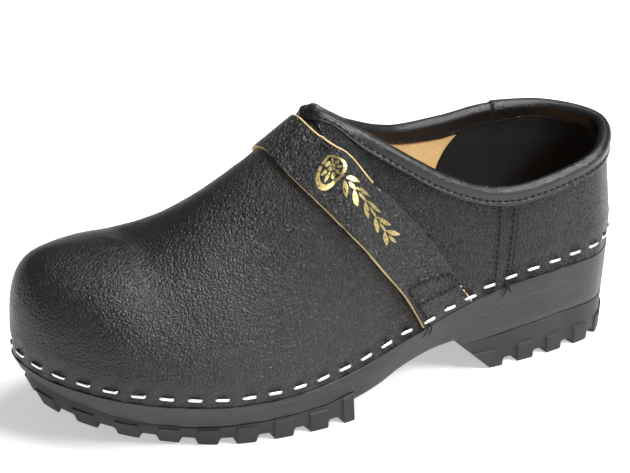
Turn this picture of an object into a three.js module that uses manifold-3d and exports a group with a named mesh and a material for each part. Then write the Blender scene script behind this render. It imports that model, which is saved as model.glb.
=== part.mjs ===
// A closed wooden clog, left foot: a carved wooden sole with two rubber treads, and a leather
// upper that is stapled to the sole all round. Millimetres, +X to the toe, +Y to the outer side
// of the foot, +Z up. Every layer of the upper is a depth below one surface, the outside of the
// leather, which is drawn from the stations of the shoemaker's last.
import * as THREE from "three";
import { mergeVertices } from "three/addons/utils/BufferGeometryUtils.js";
import Module from "manifold-3d";

const wasm = await Module();
wasm.setup();

// ---- Driving dimensions -------------------------------------------------------------------
const LENGTH = 282;            // feather line, heel to toe
const WIDTH = 103;             // feather line across the ball of the foot
const UPPER_HEIGHT = 100;      // per cent: height of the upper above the feather line
const LEATHER = 1.8;           // upper leather
const LINING = 1.2;
const STIFFENER = 1.0;         // toe puff and heel stiffener
const GRIP = 0.8;              // suede heel grip
const GAP = 0.3;               // clearance between neighbouring pieces
const STRAP_THICKNESS = 1.8;
const BINDING_WALL = 0.9;      // collar binding leather
const BINDING_LEG = 3.2;       // outer side of the binding below the leather's cut edge
const BINDING_INNER_LEG = 1.5; // and its inner side
const BINDING_EASE = 0.25;     // extra room between the binding and what it holds
const CORD_RADIUS = 1.5;       // cord rolled into the collar
const LAP = 11;                // length of the skived lap where vamp and quarter join
const FEATHER_LIP = 0.6;       // wood standing proud below the leather's edge
const STAPLE_COUNT = 57;       // staples round the whole sole
const STAPLE_NODES = 47;       // staples that are pieces of their own here
const STAPLE_PHASE = 0.44;     // first staple, in pitches past the middle of the toe
const STAPLE_CROWN = 6;
const STAPLE_WIRE = 1.1;       // width of the flat wire
const STAPLE_FLAT = 0.7;       // thickness of the flat wire
const STAPLE_LEG = 6.5;        // leg below the leather's outer face
const TREAD_BACK = 14;         // rear end of the forefoot tread
const BREAST_FOOT = -62;       // foot of the slanted heel breast
const BREAST_TOP = -44;        // top of the slanted heel breast
const SHANK_HEIGHT = 18;       // underside of the shank above the ground
const FORE_TREAD = 9.5;        // thickness of the forefoot tread
const HEEL_TREAD = 14;         // thickness of the heel tread at its breast
const TOE_SPRING = 17;         // rise of the tread under the tip of the toe
const SPRING_START = 76;
const LUG_PITCH = 16;
const NOTCH_WIDTH = 8;
const NOTCH_HEIGHT = 3;
const NOTCH_DEPTH = 15;
const BLOCK_PROUD = 1.0;       // lug blocks stand proud of the tread's side
const BLOCK_TOP = 8.2;

// ---- Stations of the last, toe first, then by the outer side to the heel and back ----------
const NOMINAL = { length: 282, width: 103 };
const STATIONS = 24;
const HALF = STATIONS / 2;
const PEAK = 6;                // station of the instep peak
const BALL_LEVEL = 20;         // height of the feather line at the ball of the foot
const SX = LENGTH / NOMINAL.length;
const SY = WIDTH / NOMINAL.width;
const SZ = UPPER_HEIGHT / 100;

// Feather line, where the upper meets the sole
const FEATHER = [
  [141, -10, 32.5], [134.5, 12, 30], [117, 32, 26.5], [95, 43, 22.5], [68, 49, 19], [40, 50, 18.5],
  [12, 46, 21], [-14, 41, 26.5], [-42, 36, 33], [-70, 34, 38], [-98, 33, 40.5], [-124, 26, 41],
  [-141, 0, 41], [-124, -26, 41], [-98, -33, 40.5], [-70, -34, 38], [-42, -34, 33], [-14, -36, 26.5],
  [12, -41, 21], [40, -48, 18.5], [68, -52, 19], [95, -51, 22.5], [118, -43, 26.5], [134, -28, 30],
];
// Crest of the upper: the meridians of the toe all meet at its first point, and the later ones
// meet along it up to the instep peak
const TOE_FAN = 2;
const SPINE = [[92, -5, 75.5], [86, -4, 76], [68, -3, 84], [44, -2, 97], [11, 0, 120.5]];
// Cut edge of the leather round the ankle, from the instep peak by the outer side
const COLLAR = [
  [11, 0, 120.5], [4, 10, 118.5], [-14, 18.5, 105], [-42, 27, 87], [-70, 29.3, 77.5], [-98, 29.3, 79.5],
  [-124, 23.2, 85], [-139.5, 0, 90.5], [-125, -23.2, 93], [-98, -31.6, 93.5], [-70, -31.2, 91.5],
  [-42, -28, 93], [-14, -18.5, 104.5], [4, -10, 119],
];
// Fullness of each station: rise and flare at the feather line, run and drop at the top
const FULLNESS = [
  [40, 2, 40, 0], [34, 3, 35, 0], [29, 3, 30, 0], [28, 4, 26, 0], [32, 4, 26, 0], [38, 3, 24, 0],
  [46, 0, 18, 0], [38, -3, 6, 20], [24, -2, 2, 18], [15, 0, 1, 14], [15, 1, 1, 14], [17, 2, 0, 16],
  [17, 2, 0, 18], [17, 2, 0, 16], [15, 1, 1, 14], [15, 0, 1, 14], [24, -2, 2, 18], [38, -3, 6, 20],
  [46, 0, 18, 0], [44, 3, 23, 0], [40, 4, 25, 0], [35, 5, 42, 0], [37, 4, 46, 0], [43, 4, 45, 0],
];
// How far the foot of the sole lies inside the feather line
const SOLE_INSET = [
  15, 15, 15, 12, 4, 0, -3, 2, 2, 0, 1, 1.5, 2.5, 2, 1, 0, 3, 3, 0, 0, 4, 11, 14, 14,
];

// ---- Small helpers --------------------------------------------------------------------------
const vec = (x, y, z) => new THREE.Vector3(x, y, z);
const UP = vec(0, 0, 1);

function smooth(from, to, x) {
  return THREE.MathUtils.smoothstep(x, from, to);
}

// Catmull-Rom value of a table's rows at position k, for a closed or an open table
function along(rows, k, closed) {
  const n = rows.length;
  const pos = closed ? ((k % n) + n) % n : Math.min(Math.max(k, 0), n - 1);
  const i = closed ? Math.floor(pos) : Math.min(Math.floor(pos), n - 2);
  const t = pos - i;
  const row = (j) => {
    if (closed) {
      return rows[((j % n) + n) % n];
    }
    if (j < 0) {
      return rows[0].map((a, c) => 2 * a - rows[1][c]);
    }
    return j < n ? rows[j] : rows[n - 1].map((a, c) => 2 * a - rows[n - 2][c]);
  };
  const [a, b, c, d] = [row(i - 1), row(i), row(i + 1), row(i + 2)];
  return b.map((_, m) => {
    const cubic = 3 * b[m] - a[m] - 3 * c[m] + d[m];
    const square = 2 * a[m] - 5 * b[m] + 4 * c[m] - d[m];
    return 0.5 * (2 * b[m] + (c[m] - a[m]) * t + square * t * t + cubic * t * t * t);
  });
}

const fold = (u) => {
  const w = ((u % STATIONS) + STATIONS) % STATIONS;
  return Math.min(w, STATIONS - w);
};

function feather(u) {
  const [x, y, z] = along(FEATHER, u, true);
  return vec(x * SX, y * SY, z);
}

// Collar rows lie closer together at the tight front of the opening
function collarRow(u) {
  const w = fold(u) - PEAK;
  const crowd = 0.55;
  const full = HALF - PEAK;
  const end = full + 1 - Math.exp(-full / crowd);
  const s = w + 1 - Math.exp(-w / crowd) + (w / full) ** 2 * (full + 1 - end);
  const side = ((u % STATIONS) + STATIONS) % STATIONS;
  return side <= HALF ? s : COLLAR.length - s;
}

function topEdge(u) {
  const f = fold(u);
  const crest = Math.max(f - TOE_FAN, 0);
  const [x, y, z] = f <= PEAK ? along(SPINE, crest, false) : along(COLLAR, collarRow(u), true);
  return vec(x * SX, y * SY, BALL_LEVEL + (z - BALL_LEVEL) * SZ);
}

// Outward direction of the feather line in plan
function outward(u) {
  const d = feather(u + 0.02).sub(feather(u - 0.02));
  return vec(d.y, -d.x, 0).normalize();
}

// One meridian of the leather's outer face at station u, sunk by a depth
function meridian(u, depth) {
  const f = fold(u);
  const foot = feather(u);
  const top = topEdge(u);
  const n = outward(u);
  const radial = vec(foot.x - top.x, foot.y - top.y, 0).normalize();
  const w = ((u % STATIONS) + STATIONS) % STATIONS;
  const across = vec(0, w < HALF ? 1 : -1, 0);
  const dir = radial.lerp(across, smooth(2, 3, f)).lerp(n, smooth(PEAK + 1, PEAK + 3, f)).normalize();
  const [rise, flare, run, drop] = along(FULLNESS, u, true);
  const down = f <= PEAK ? 0 : Math.max(drop, 0) * smooth(PEAK, PEAK + 1, f);
  const side = Math.max(run, 0);
  const footNormal = n.clone().multiplyScalar(rise).addScaledVector(UP, -flare).normalize();
  const topNormal = dir.clone().multiplyScalar(down).addScaledVector(UP, side).normalize();
  const turn = side / Math.max(Math.hypot(side, down), 1e-9);
  const shrink = 0.55 * depth * turn;
  const p0 = foot.addScaledVector(footNormal, -depth);
  const p3 = top.addScaledVector(topNormal, -depth);
  const p1 = p0.clone().addScaledVector(UP, rise * SZ - shrink).addScaledVector(n, flare);
  const p2 = p3.clone().addScaledVector(dir, Math.max(side - shrink, 0)).addScaledVector(UP, -down);
  return new THREE.CubicBezierCurve3(p0, p1, p2, p3);
}

const surface = (u, v, depth = 0) => meridian(u, depth).getPoint(v);

function normalAt(u, v, depth = 0) {
  const t = Math.min(Math.max(v, 0), 0.985);
  const du = surface(u + 0.02, t, depth).sub(surface(u - 0.02, t, depth));
  const dv = surface(u, t + 0.01, depth).sub(surface(u, Math.max(t - 0.01, 0), depth));
  return du.cross(dv).normalize();
}

// v at which the leather's outer face stands a height above the feather line
function vAtHeight(u, height) {
  const curve = meridian(u, 0);
  const goal = curve.v0.z + height;
  let [low, high] = [0, 0.9];
  for (let i = 0; i < 24; i += 1) {
    const mid = (low + high) / 2;
    if (curve.getPoint(mid).z < goal) {
      low = mid;
    } else {
      high = mid;
    }
  }
  return low;
}

// ---- Meshes ---------------------------------------------------------------------------------
function signedVolume(points, tris) {
  let sum = 0;
  for (const [a, b, c] of tris) {
    sum += points[a].dot(points[b].clone().cross(points[c]));
  }
  return sum / 6;
}

// A closed geometry from points and triangles: doubles merged, slivers of no area dropped
function closed(points, tris) {
  const faces = signedVolume(points, tris) < 0 ? tris.map(([a, b, c]) => [a, c, b]) : tris;
  const raw = new THREE.BufferGeometry();
  raw.setAttribute("position", new THREE.Float32BufferAttribute(points.flatMap((p) => p.toArray()), 3));
  raw.setIndex(faces.flat());
  const merged = mergeVertices(raw, 1e-3);
  const index = merged.index.array;
  const kept = [];
  for (let i = 0; i < index.length; i += 3) {
    const [a, b, c] = [index[i], index[i + 1], index[i + 2]];
    if (a !== b && b !== c && a !== c) {
      kept.push(a, b, c);
    }
  }
  merged.setIndex(kept);
  return merged;
}

// A sheet of leather: an outer and an inner grid over stations us, closed at its rims. rows(u)
// gives the v of each row. Where both sides of the upper meet on the crest there is no rim.
function sheet(us, rows, outer, inner, ring = false) {
  const points = [];
  const count = rows(us[0]).length;
  us.forEach((u) => rows(u).forEach((v) => points.push(surface(u, v, outer(u, v)))));
  us.forEach((u) => rows(u).forEach((v) => points.push(surface(u, v, inner(u, v)))));
  const half = us.length * count;
  const at = (i, j, layer) => layer * half + (i % us.length) * count + j;
  const tris = [];
  const quad = (a, b, c, d) => tris.push([a, b, c], [a, c, d]);
  const spans = ring ? us.length : us.length - 1;
  for (let i = 0; i < spans; i += 1) {
    for (let j = 0; j < count - 1; j += 1) {
      quad(at(i, j, 0), at(i + 1, j, 0), at(i + 1, j + 1, 0), at(i, j + 1, 0));
      quad(at(i, j, 1), at(i, j + 1, 1), at(i + 1, j + 1, 1), at(i + 1, j, 1));
    }
    quad(at(i, 0, 0), at(i, 0, 1), at(i + 1, 0, 1), at(i + 1, 0, 0));
    const next = us[(i + 1) % us.length];
    const onCrest = rows(us[i])[count - 1] === 1 && Math.max(fold(us[i]), fold(next)) <= PEAK + 1e-6;
    if (!onCrest) {
      const top = count - 1;
      quad(at(i, top, 0), at(i + 1, top, 0), at(i + 1, top, 1), at(i, top, 1));
    }
  }
  if (!ring) {
    const last = us.length - 1;
    for (let j = 0; j < count - 1; j += 1) {
      quad(at(0, j, 0), at(0, j + 1, 0), at(0, j + 1, 1), at(0, j, 1));
      quad(at(last, j, 0), at(last, j, 1), at(last, j + 1, 1), at(last, j + 1, 0));
    }
  }
  return closed(points, tris);
}

// Stations from a to b on the common division of the upper, with the ends added
const STEP = 0.4;
function stations(a, b) {
  const list = [a];
  for (let k = Math.floor(a / STEP) + 1; k * STEP < b - 0.05; k += 1) {
    if (k * STEP > a + 0.05) {
      list.push(k * STEP);
    }
  }
  list.push(b);
  return list.map((u) => Math.round(u * 1e6) / 1e6);
}

// Rows from v0 to v1, closer together where pack is over 1
function spread(v0, v1, count, pack = 1) {
  return Array.from({ length: count + 1 }, (_, i) => v0 + (v1 - v0) * (i / count) ** pack);
}

function manifoldOf(geometry) {
  const plain = geometry.clone();
  plain.deleteAttribute("normal");
  plain.deleteAttribute("uv");
  const merged = mergeVertices(plain, 1e-4);
  const vertProperties = new Float32Array(merged.attributes.position.array);
  const triVerts = new Uint32Array(merged.index.array);
  return new wasm.Manifold(new wasm.Mesh({ numProp: 3, vertProperties, triVerts }));
}

const FINEST = 0.02;           // slivers thinner than this are closed up after a cut

function geometryOf(solid) {
  const mesh = solid.simplify(FINEST).getMesh();
  const geometry = new THREE.BufferGeometry();
  const position = new Float32Array(mesh.vertProperties);
  geometry.setAttribute("position", new THREE.BufferAttribute(position, 3));
  geometry.setIndex(new THREE.BufferAttribute(new Uint32Array(mesh.triVerts), 1));
  return geometry;
}

const largest = (solid) => solid.decompose().sort((a, b) => b.volume() - a.volume())[0];

// A side outline in X and Z, extruded across the whole width of the shoe
function acrossShoe(outline) {
  const shape = new THREE.Shape(outline.map(([x, z]) => new THREE.Vector2(x, z)));
  const depth = 2 * WIDTH;
  const prism = new THREE.ExtrudeGeometry(shape, { depth, bevelEnabled: false });
  prism.rotateX(Math.PI / 2);
  prism.translate(0, depth / 2, 0);
  return manifoldOf(prism);
}

// A box in a local frame: along, across and out are its axes, with ranges on each
function orientedBox(origin, axes, ranges) {
  const size = ranges.map(([a, b]) => b - a);
  const box = new THREE.BoxGeometry(size[0], size[1], size[2]);
  box.translate(...ranges.map(([a, b]) => (a + b) / 2));
  box.applyMatrix4(new THREE.Matrix4().makeBasis(...axes).setPosition(origin));
  return manifoldOf(box);
}

// ---- Layers of the upper --------------------------------------------------------------------
const PUFF_END = 2.4;                              // toe puff ends at this station
const STIFF_START = 10;                            // heel stiffener starts at this station
const WALL_MARGIN = 3;                             // wood wall above the staple row

// Every layer of the upper shares these rows, so that neighbours run parallel. Row 1 is the top
// of the wood's wall, and the lining starts at row 2.
const UPPER_ROWS = 6;
const LINING_ROW = 2;
const PUFF_ROW = 7;
const STIFF_ROW = 6;
const GRIP_ROW = 8;
const stapleHeight = (u) => 3.6 + 2.4 * smooth(8.5, 11.5, fold(u));
const wallHeight = (u) => stapleHeight(u) + WALL_MARGIN;

function upperRows(u) {
  const wall = vAtHeight(u, wallHeight(u));
  const free = 0.3;
  return [0, wall, (wall + free) / 2, ...spread(free, 1, UPPER_ROWS)];
}

const rowsBetween = (from, to) => (u) => upperRows(u).slice(from, to === undefined ? undefined : to + 1);
const STIFF_TOP = 0.65;

// 1 where a stiffener lies between leather and lining
function stiffened(u, v) {
  const f = fold(u);
  const toe = 1 - smooth(PUFF_END + 0.2, PUFF_END + 1.2, f);
  const heel = smooth(STIFF_START - 0.9, STIFF_START - 0.2, f);
  return toe + heel * (1 - smooth(STIFF_TOP + 0.02, STIFF_TOP + 0.2, v));
}

const liningOuter = (u, v) => LEATHER + GAP + (STIFFENER + GAP) * stiffened(u, v);
const liningInner = (u, v) => liningOuter(u, v) + LINING;
const gripOuter = (u, v) => liningInner(u, v) + GAP;
const gripInner = (u, v) => gripOuter(u, v) + GRIP;

// Skived lap: the vamp's half lies outside, the quarter's half inside
const PITCH = Math.abs(feather(9).x - feather(8).x); // length of one station on the side
const LAP_FRONT = 8.7;
const LAP_BACK = LAP_FRONT + LAP / PITCH;
const EDGE = GAP / PITCH;
const RAMP = 0.06;
const SKIVED = (LEATHER - GAP) / 2;

const vampInner = (u) => LEATHER - (LEATHER - SKIVED) * (fold(u) > LAP_FRONT + RAMP / 2 ? 1 : 0);
const quarterOuter = (u) => (fold(u) < LAP_BACK + EDGE + RAMP / 2 ? SKIVED + GAP : 0);

function vampStations() {
  const rear = [LAP_FRONT, LAP_FRONT + RAMP, LAP_BACK];
  const front = stations(-LAP_FRONT + RAMP, LAP_FRONT - RAMP);
  return [...rear.map((u) => -u).reverse(), ...front.slice(1, -1), ...rear];
}

function quarterStations() {
  const start = LAP_FRONT + RAMP + EDGE;
  const thick = LAP_BACK + EDGE;
  const side = [start, thick, thick + RAMP];
  const heel = stations(thick + RAMP, STATIONS - thick - RAMP).slice(1, -1);
  return [...side, ...heel, ...side.map((u) => STATIONS - u).reverse()];
}

const vampSheet = () => sheet(vampStations(), upperRows, () => 0, vampInner);
const quarterSheet = () => sheet(quarterStations(), upperRows, quarterOuter, () => LEATHER);

const LINING_SEAM = 7.2;

function vampLining() {
  const us = stations(-LINING_SEAM, LINING_SEAM);
  return sheet(us, rowsBetween(LINING_ROW), liningOuter, liningInner);
}

function quarterLining() {
  const us = stations(LINING_SEAM + EDGE, STATIONS - LINING_SEAM - EDGE);
  return sheet(us, rowsBetween(LINING_ROW), liningOuter, liningInner);
}

const GRIP_FRONT = 8.8;

function heelGrip() {
  const us = stations(GRIP_FRONT, STATIONS - GRIP_FRONT);
  return sheet(us, rowsBetween(LINING_ROW, GRIP_ROW), gripOuter, gripInner);
}

const stiffenerOuter = () => LEATHER + GAP;
const stiffenerInner = () => LEATHER + GAP + STIFFENER;

function toePuff() {
  const us = stations(-PUFF_END, PUFF_END);
  return sheet(us, rowsBetween(LINING_ROW, PUFF_ROW), stiffenerOuter, stiffenerInner);
}

function heelStiffener() {
  const us = stations(STIFF_START, STATIONS - STIFF_START);
  return sheet(us, rowsBetween(LINING_ROW, STIFF_ROW), stiffenerOuter, stiffenerInner);
}

// ---- Collar binding and cord ----------------------------------------------------------------
const STACK = LEATHER + GAP + LINING;
const ROLL_INNER = STACK / 2 + GAP + BINDING_EASE;
const ROLL_RISE = CORD_RADIUS + GAP + 0.1;         // roll centre above the leather's edge

// Frame at the cut edge: point, outward normal and the direction that leaves the leather
function collarFrame(u) {
  const nearPeak = 1 - smooth(0, 0.8, fold(u) - PEAK);
  const peakSlope = topEdge(PEAK).sub(topEdge(PEAK - 0.2));
  const crestNormal = vec(-peakSlope.z, 0, peakSlope.x);
  crestNormal.multiplyScalar(Math.sign(crestNormal.z)).normalize();
  const n = normalAt(u, 0.97).lerp(crestNormal, nearPeak).normalize();
  const atPeak = fold(u) < PEAK + 1e-6;
  const tangent = atPeak ? vec(0, 1, 0) : topEdge(u + 0.01).sub(topEdge(u - 0.01)).normalize();
  const off = n.clone().cross(tangent).normalize();
  const normal = tangent.clone().cross(off).normalize();
  return { point: topEdge(u), normal, off };
}

// A closed ring swept round the collar from a section given as [normal, off] pairs
function collarRing(section) {
  const us = stations(PEAK, STATIONS - PEAK).slice(0, -1);
  us.splice(1, 0, PEAK + STEP / 2);
  us.push(STATIONS - PEAK - STEP / 2);
  const points = [];
  us.forEach((u) => {
    const { point, normal, off } = collarFrame(u);
    section.forEach(([a, b]) => {
      points.push(point.clone().addScaledVector(normal, a).addScaledVector(off, b));
    });
  });
  const n = section.length;
  const tris = [];
  for (let i = 0; i < us.length; i += 1) {
    for (let j = 0; j < n; j += 1) {
      const [a, b] = [i * n + j, i * n + ((j + 1) % n)];
      const [c, d] = [((i + 1) % us.length) * n + j, ((i + 1) % us.length) * n + ((j + 1) % n)];
      tris.push([a, c, d], [a, d, b]);
    }
  }
  return closed(points, tris);
}

function arc(cx, cy, r, from, to, count) {
  return Array.from({ length: count + 1 }, (_, i) => {
    const a = THREE.MathUtils.degToRad(from + ((to - from) * i) / count);
    return [cx + r * Math.cos(a), cy + r * Math.sin(a)];
  });
}

// The stack of leather and lining near the collar with its clearance all round
function stackClearance() {
  const us = stations(PEAK - 3 * STEP, STATIONS - PEAK + 3 * STEP);
  return manifoldOf(sheet(us, rowsBetween(PUFF_ROW), () => -GAP, () => STACK + GAP + BINDING_EASE));
}

// The whole space that the binding takes up, with clearance
function collarBlock() {
  const middle = -STACK / 2;
  const outer = ROLL_INNER + BINDING_WALL + GAP;
  const foot = -BINDING_LEG - GAP;
  const section = [[middle + outer, foot], ...arc(middle, ROLL_RISE, outer, 0, 180, 5), [middle - outer, foot]];
  return manifoldOf(collarRing(section));
}

function collarBinding() {
  const middle = -STACK / 2;
  const outer = ROLL_INNER + BINDING_WALL;
  const foot = -BINDING_LEG;
  const roll = collarRing([
    [middle + outer, foot],
    ...arc(middle, ROLL_RISE, outer, 0, 180, 5),
    [middle - outer, -BINDING_INNER_LEG],
    [middle - ROLL_INNER, -BINDING_INNER_LEG],
    ...arc(middle, ROLL_RISE, ROLL_INNER, 180, 0, 4),
    [middle + ROLL_INNER, foot],
  ]);
  // The lining turns sharply at the front of the opening, so the inner leg is trimmed to it
  return largest(manifoldOf(roll).subtract(stackClearance()).subtract(manifoldOf(vampLining())));
}

function collarCord() {
  const cord = collarRing(arc(-STACK / 2, ROLL_RISE, CORD_RADIUS, 0, 300, 5));
  return largest(manifoldOf(cord).subtract(stackClearance()));
}

// ---- Instep strap ---------------------------------------------------------------------------
const STRAP_BELOW = 1.2;                           // lower ends above the feather line
const STRAP_REACH = 8.8;                           // station that the strap's lower end stays within
// Edges of the strap in side view, from above the crest to below the sole's edge
const STRAP_FRONT = [[31, 122], [31, 109], [26, 99], [16, 87], [-4, 62], [-14, 49], [-24, 31], [-36, 10]];
const STRAP_REAR = [[14.5, 134], [14.5, 119], [3, 108], [-8, 97], [-23, 78], [-34, 63.5], [-44, 46], [-62, 20]];

// The strap is a band cut from a sheet that lies on the vamp, clear of the collar binding
function instepStrap() {
  const us = stations(-STRAP_REACH, STRAP_REACH);
  const rows = (u) => [vAtHeight(u, STRAP_BELOW), ...upperRows(u).slice(1)];
  const outside = () => -(GAP + STRAP_THICKNESS);
  const whole = manifoldOf(sheet(us, rows, outside, () => -GAP));
  const edge = (points) => points.map(([x, z]) => [x * SX, BALL_LEVEL + (z - BALL_LEVEL) * SZ]);
  const band = whole.intersect(acrossShoe([...edge(STRAP_FRONT), ...edge(STRAP_REAR).reverse()]));
  return largest(band.subtract(collarBlock()));
}

// ---- Wooden sole ----------------------------------------------------------------------------
const WALL_DEPTH = LEATHER + GAP;
const RIM_DEPTH = 8;                               // footbed starts this far inside the leather
const RIM_RISE = 2.5;
const DISH = 4;                                    // hollow of the footbed
const BELOW = -1;                                  // blank reaches past the ground

// Centre line of the sole between two opposite stations
function spineOf(w) {
  const inset = 14 * (smooth(0, 1, 1 - w) - smooth(HALF - 1, HALF, w));
  const mid = feather(w).add(feather(STATIONS - w)).multiplyScalar(0.5);
  return vec(mid.x - inset, mid.y, mid.z);
}

const PLAN = stations(0, STATIONS).slice(0, -1);
const baseAt = (u, grow, z) => {
  const p = feather(u).addScaledVector(outward(u), grow - along(SOLE_INSET.map((a) => [a]), u, true)[0]);
  return vec(p.x, p.y, z);
};

// A closed body from rings of points, one point per plan station, closed at both ends by strips
// to the centre line at the heights that capHeight gives
function ringBody(rings, capHeights) {
  const n = PLAN.length;
  const points = rings.flatMap((ring) => PLAN.map(ring));
  const centre = capHeights.map((height) => {
    const start = points.length;
    for (let k = 0; k <= n / 2; k += 1) {
      const c = spineOf(PLAN[k] ?? HALF);
      points.push(vec(c.x, c.y, height(k === n / 2 ? HALF : PLAN[k])));
    }
    return start;
  });
  const tris = [];
  const quad = (a, b, c, d) => tris.push([a, b, c], [a, c, d]);
  for (let r = 0; r < rings.length - 1; r += 1) {
    for (let i = 0; i < n; i += 1) {
      const j = (i + 1) % n;
      quad(r * n + i, r * n + j, (r + 1) * n + j, (r + 1) * n + i);
    }
  }
  const half = n / 2;
  for (let i = 0; i < n; i += 1) {
    const j = (i + 1) % n;
    const [ci, cj] = [i, i + 1].map((k) => (k <= half ? k : n - k));
    const last = (rings.length - 1) * n;
    quad(last + i, last + j, centre[1] + cj, centre[1] + ci);
    quad(j, i, centre[0] + ci, centre[0] + cj);
  }
  return closed(points, tris);
}

const rimAt = (u, depth, height) => {
  const v = vAtHeight(u, height);
  return surface(u, v, depth);
};

const footbedEdge = (u) => rimAt(u, RIM_DEPTH, wallHeight(u) + RIM_RISE);

function footbedPoint(u, share) {
  const w = fold(u);
  const edge = footbedEdge(u);
  const centre = spineOf(w);
  const p = vec(centre.x, centre.y, edge.z).lerp(edge, share);
  p.z = edge.z - DISH * (1 - share ** 2);
  return p;
}

const ledge = (u, out) => {
  const p = feather(u).addScaledVector(outward(u), out);
  p.z -= GAP;
  return p;
};

function soleBlank() {
  const rings = [
    (u) => footbedPoint(u, 0.55),
    footbedEdge,
    (u) => rimAt(u, WALL_DEPTH, wallHeight(u)),
    (u) => {
      const p = surface(u, 0, WALL_DEPTH);
      p.z -= GAP;
      return p;
    },
    (u) => ledge(u, FEATHER_LIP),
    (u) => baseAt(u, 0, BELOW),
  ];
  const bedHeight = (w) => (footbedEdge(w).z + footbedEdge(STATIONS - w).z) / 2 - DISH;
  return manifoldOf(ringBody(rings, [bedHeight, () => BELOW]));
}

// The lower sole's outside for the treads, grown outwards
function treadBlank(grow) {
  const rings = [(u) => ledge(u, FEATHER_LIP + grow), (u) => baseAt(u, grow, BELOW)];
  return manifoldOf(ringBody(rings, [(w) => spineOf(w).z - GAP, () => BELOW]));
}

const TOE_PAST = 170;
const TOE_TIP = 138;
const ground = (x) => TOE_SPRING * (Math.max(x - SPRING_START, 0) / (TOE_TIP - SPRING_START)) ** 2;
const SPRING_POINTS = [SPRING_START, 92, 104, 116, 127, TOE_TIP, TOE_PAST];
const springLine = (rise) => SPRING_POINTS.map((x) => [x * SX, ground(x) + rise]);
const HEEL_PARTING = [[BREAST_FOOT, HEEL_TREAD], [-98, HEEL_TREAD + 4.5], [-TOE_PAST, HEEL_TREAD + 4.5]];
const SHANK = [[TREAD_BACK, 8.8], [-2, 11.2], [-14, 14.6], [-29, 17.4], [BREAST_TOP, SHANK_HEIGHT]];

// Where the slanted breast meets a height
const breastAt = (z) => BREAST_FOOT + ((BREAST_TOP - BREAST_FOOT) * z) / SHANK_HEIGHT;

// Side outline of all that the wood leaves free below it
function belowWood() {
  const heelTop = HEEL_PARTING.map(([x, z], i) => [i === 0 ? breastAt(z) : x, z]);
  return [
    [-TOE_PAST * SX, BELOW * 3], ...[...heelTop].reverse().map(([x, z]) => [x * SX, z]),
    ...[...SHANK].reverse().map(([x, z]) => [x * SX, z]),
    [TREAD_BACK * SX, FORE_TREAD + 3], [(TREAD_BACK + 14) * SX, FORE_TREAD + 0.8],
    [(TREAD_BACK + 36) * SX, FORE_TREAD], ...springLine(FORE_TREAD), [TOE_PAST * SX, BELOW * 3],
  ];
}

function foreTreadOutline() {
  const drop = FORE_TREAD - GAP;
  return [
    [(TREAD_BACK + GAP) * SX, 0], ...springLine(0), ...springLine(drop).reverse(),
    [(TREAD_BACK + 36) * SX, drop], [(TREAD_BACK + 14) * SX, drop + 0.8],
    [(TREAD_BACK + GAP) * SX, drop + 2.95],
  ];
}

function heelTreadOutline() {
  const top = HEEL_PARTING.map(([x, z], i) => [i === 0 ? breastAt(z - GAP) : x, z - GAP]);
  return [[BREAST_FOOT * SX, 0], ...top.map(([x, z]) => [x * SX, z]), [-TOE_PAST * SX, 0]];
}

// Places of the notches between lugs: equal steps along the foot of the sole
function notchStations(from, to) {
  const list = [];
  let last = baseAt(from, 0, 0);
  let run = LUG_PITCH / 2;
  for (let u = from; u <= to; u += 0.01) {
    const p = baseAt(u, 0, 0);
    run += p.distanceTo(last);
    last = p;
    if (run >= LUG_PITCH) {
      run -= LUG_PITCH;
      list.push(u);
    }
  }
  return list;
}

function notchFrame(u) {
  const back = baseAt(u - 0.02, 0, 0).sub(baseAt(u + 0.02, 0, 0)).normalize();
  const out = vec(-back.y, back.x, 0);
  const p = baseAt(u, 0, 0);
  return { origin: vec(p.x, p.y, ground(p.x / SX)), axes: [back, out, UP] };
}

// An arched channel through the lug row, and the shallow side pocket above it
function notchCutters(u, top) {
  const { origin, axes } = notchFrame(u);
  const half = NOTCH_WIDTH / 2;
  const shape = new THREE.Shape();
  shape.moveTo(-half, BELOW * 2);
  shape.lineTo(-half, NOTCH_HEIGHT * 0.3);
  shape.lineTo(-half * 0.6, NOTCH_HEIGHT);
  shape.lineTo(half * 0.6, NOTCH_HEIGHT);
  shape.lineTo(half, NOTCH_HEIGHT * 0.3);
  shape.lineTo(half, BELOW * 2);
  const depth = NOTCH_DEPTH + 8;
  const channel = new THREE.ExtrudeGeometry(shape, { depth, bevelEnabled: false });
  channel.rotateX(Math.PI / 2);
  channel.translate(0, depth - NOTCH_DEPTH, 0);
  channel.applyMatrix4(new THREE.Matrix4().makeBasis(...axes).setPosition(origin));
  const pocket = orientedBox(origin, axes, [[-half * 0.6, half * 0.6], [0, 8], [BELOW, top + 1]]);
  return manifoldOf(channel).add(pocket);
}

function tread(outline, ranges, blockTop) {
  const region = acrossShoe(outline);
  const [rear, front] = [-TOE_PAST * SX, TOE_PAST * SX];
  const blockLine = [...springLine(blockTop)].reverse();
  const low = acrossShoe([[rear, BELOW * 3], [front, BELOW * 3], ...blockLine, [rear, blockTop]]);
  let body = treadBlank(0).intersect(region).add(treadBlank(BLOCK_PROUD).intersect(region).intersect(low));
  for (const [from, to] of ranges) {
    for (const u of notchStations(from, to)) {
      body = body.subtract(notchCutters(u, blockTop));
    }
  }
  return body;
}

// ---- Staples --------------------------------------------------------------------------------
function stapleStations() {
  const steps = 2400;
  const lengths = [0];
  for (let i = 1; i <= steps; i += 1) {
    const [a, b] = [i - 1, i].map((k) => feather((k / steps) * STATIONS));
    lengths.push(lengths[i - 1] + a.distanceTo(b));
  }
  const pitch = lengths[steps] / STAPLE_COUNT;
  return Array.from({ length: STAPLE_COUNT }, (_, k) => {
    const goal = (k + STAPLE_PHASE) * pitch;
    const i = lengths.findIndex((d) => d >= goal);
    return (i / steps) * STATIONS;
  });
}

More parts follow.
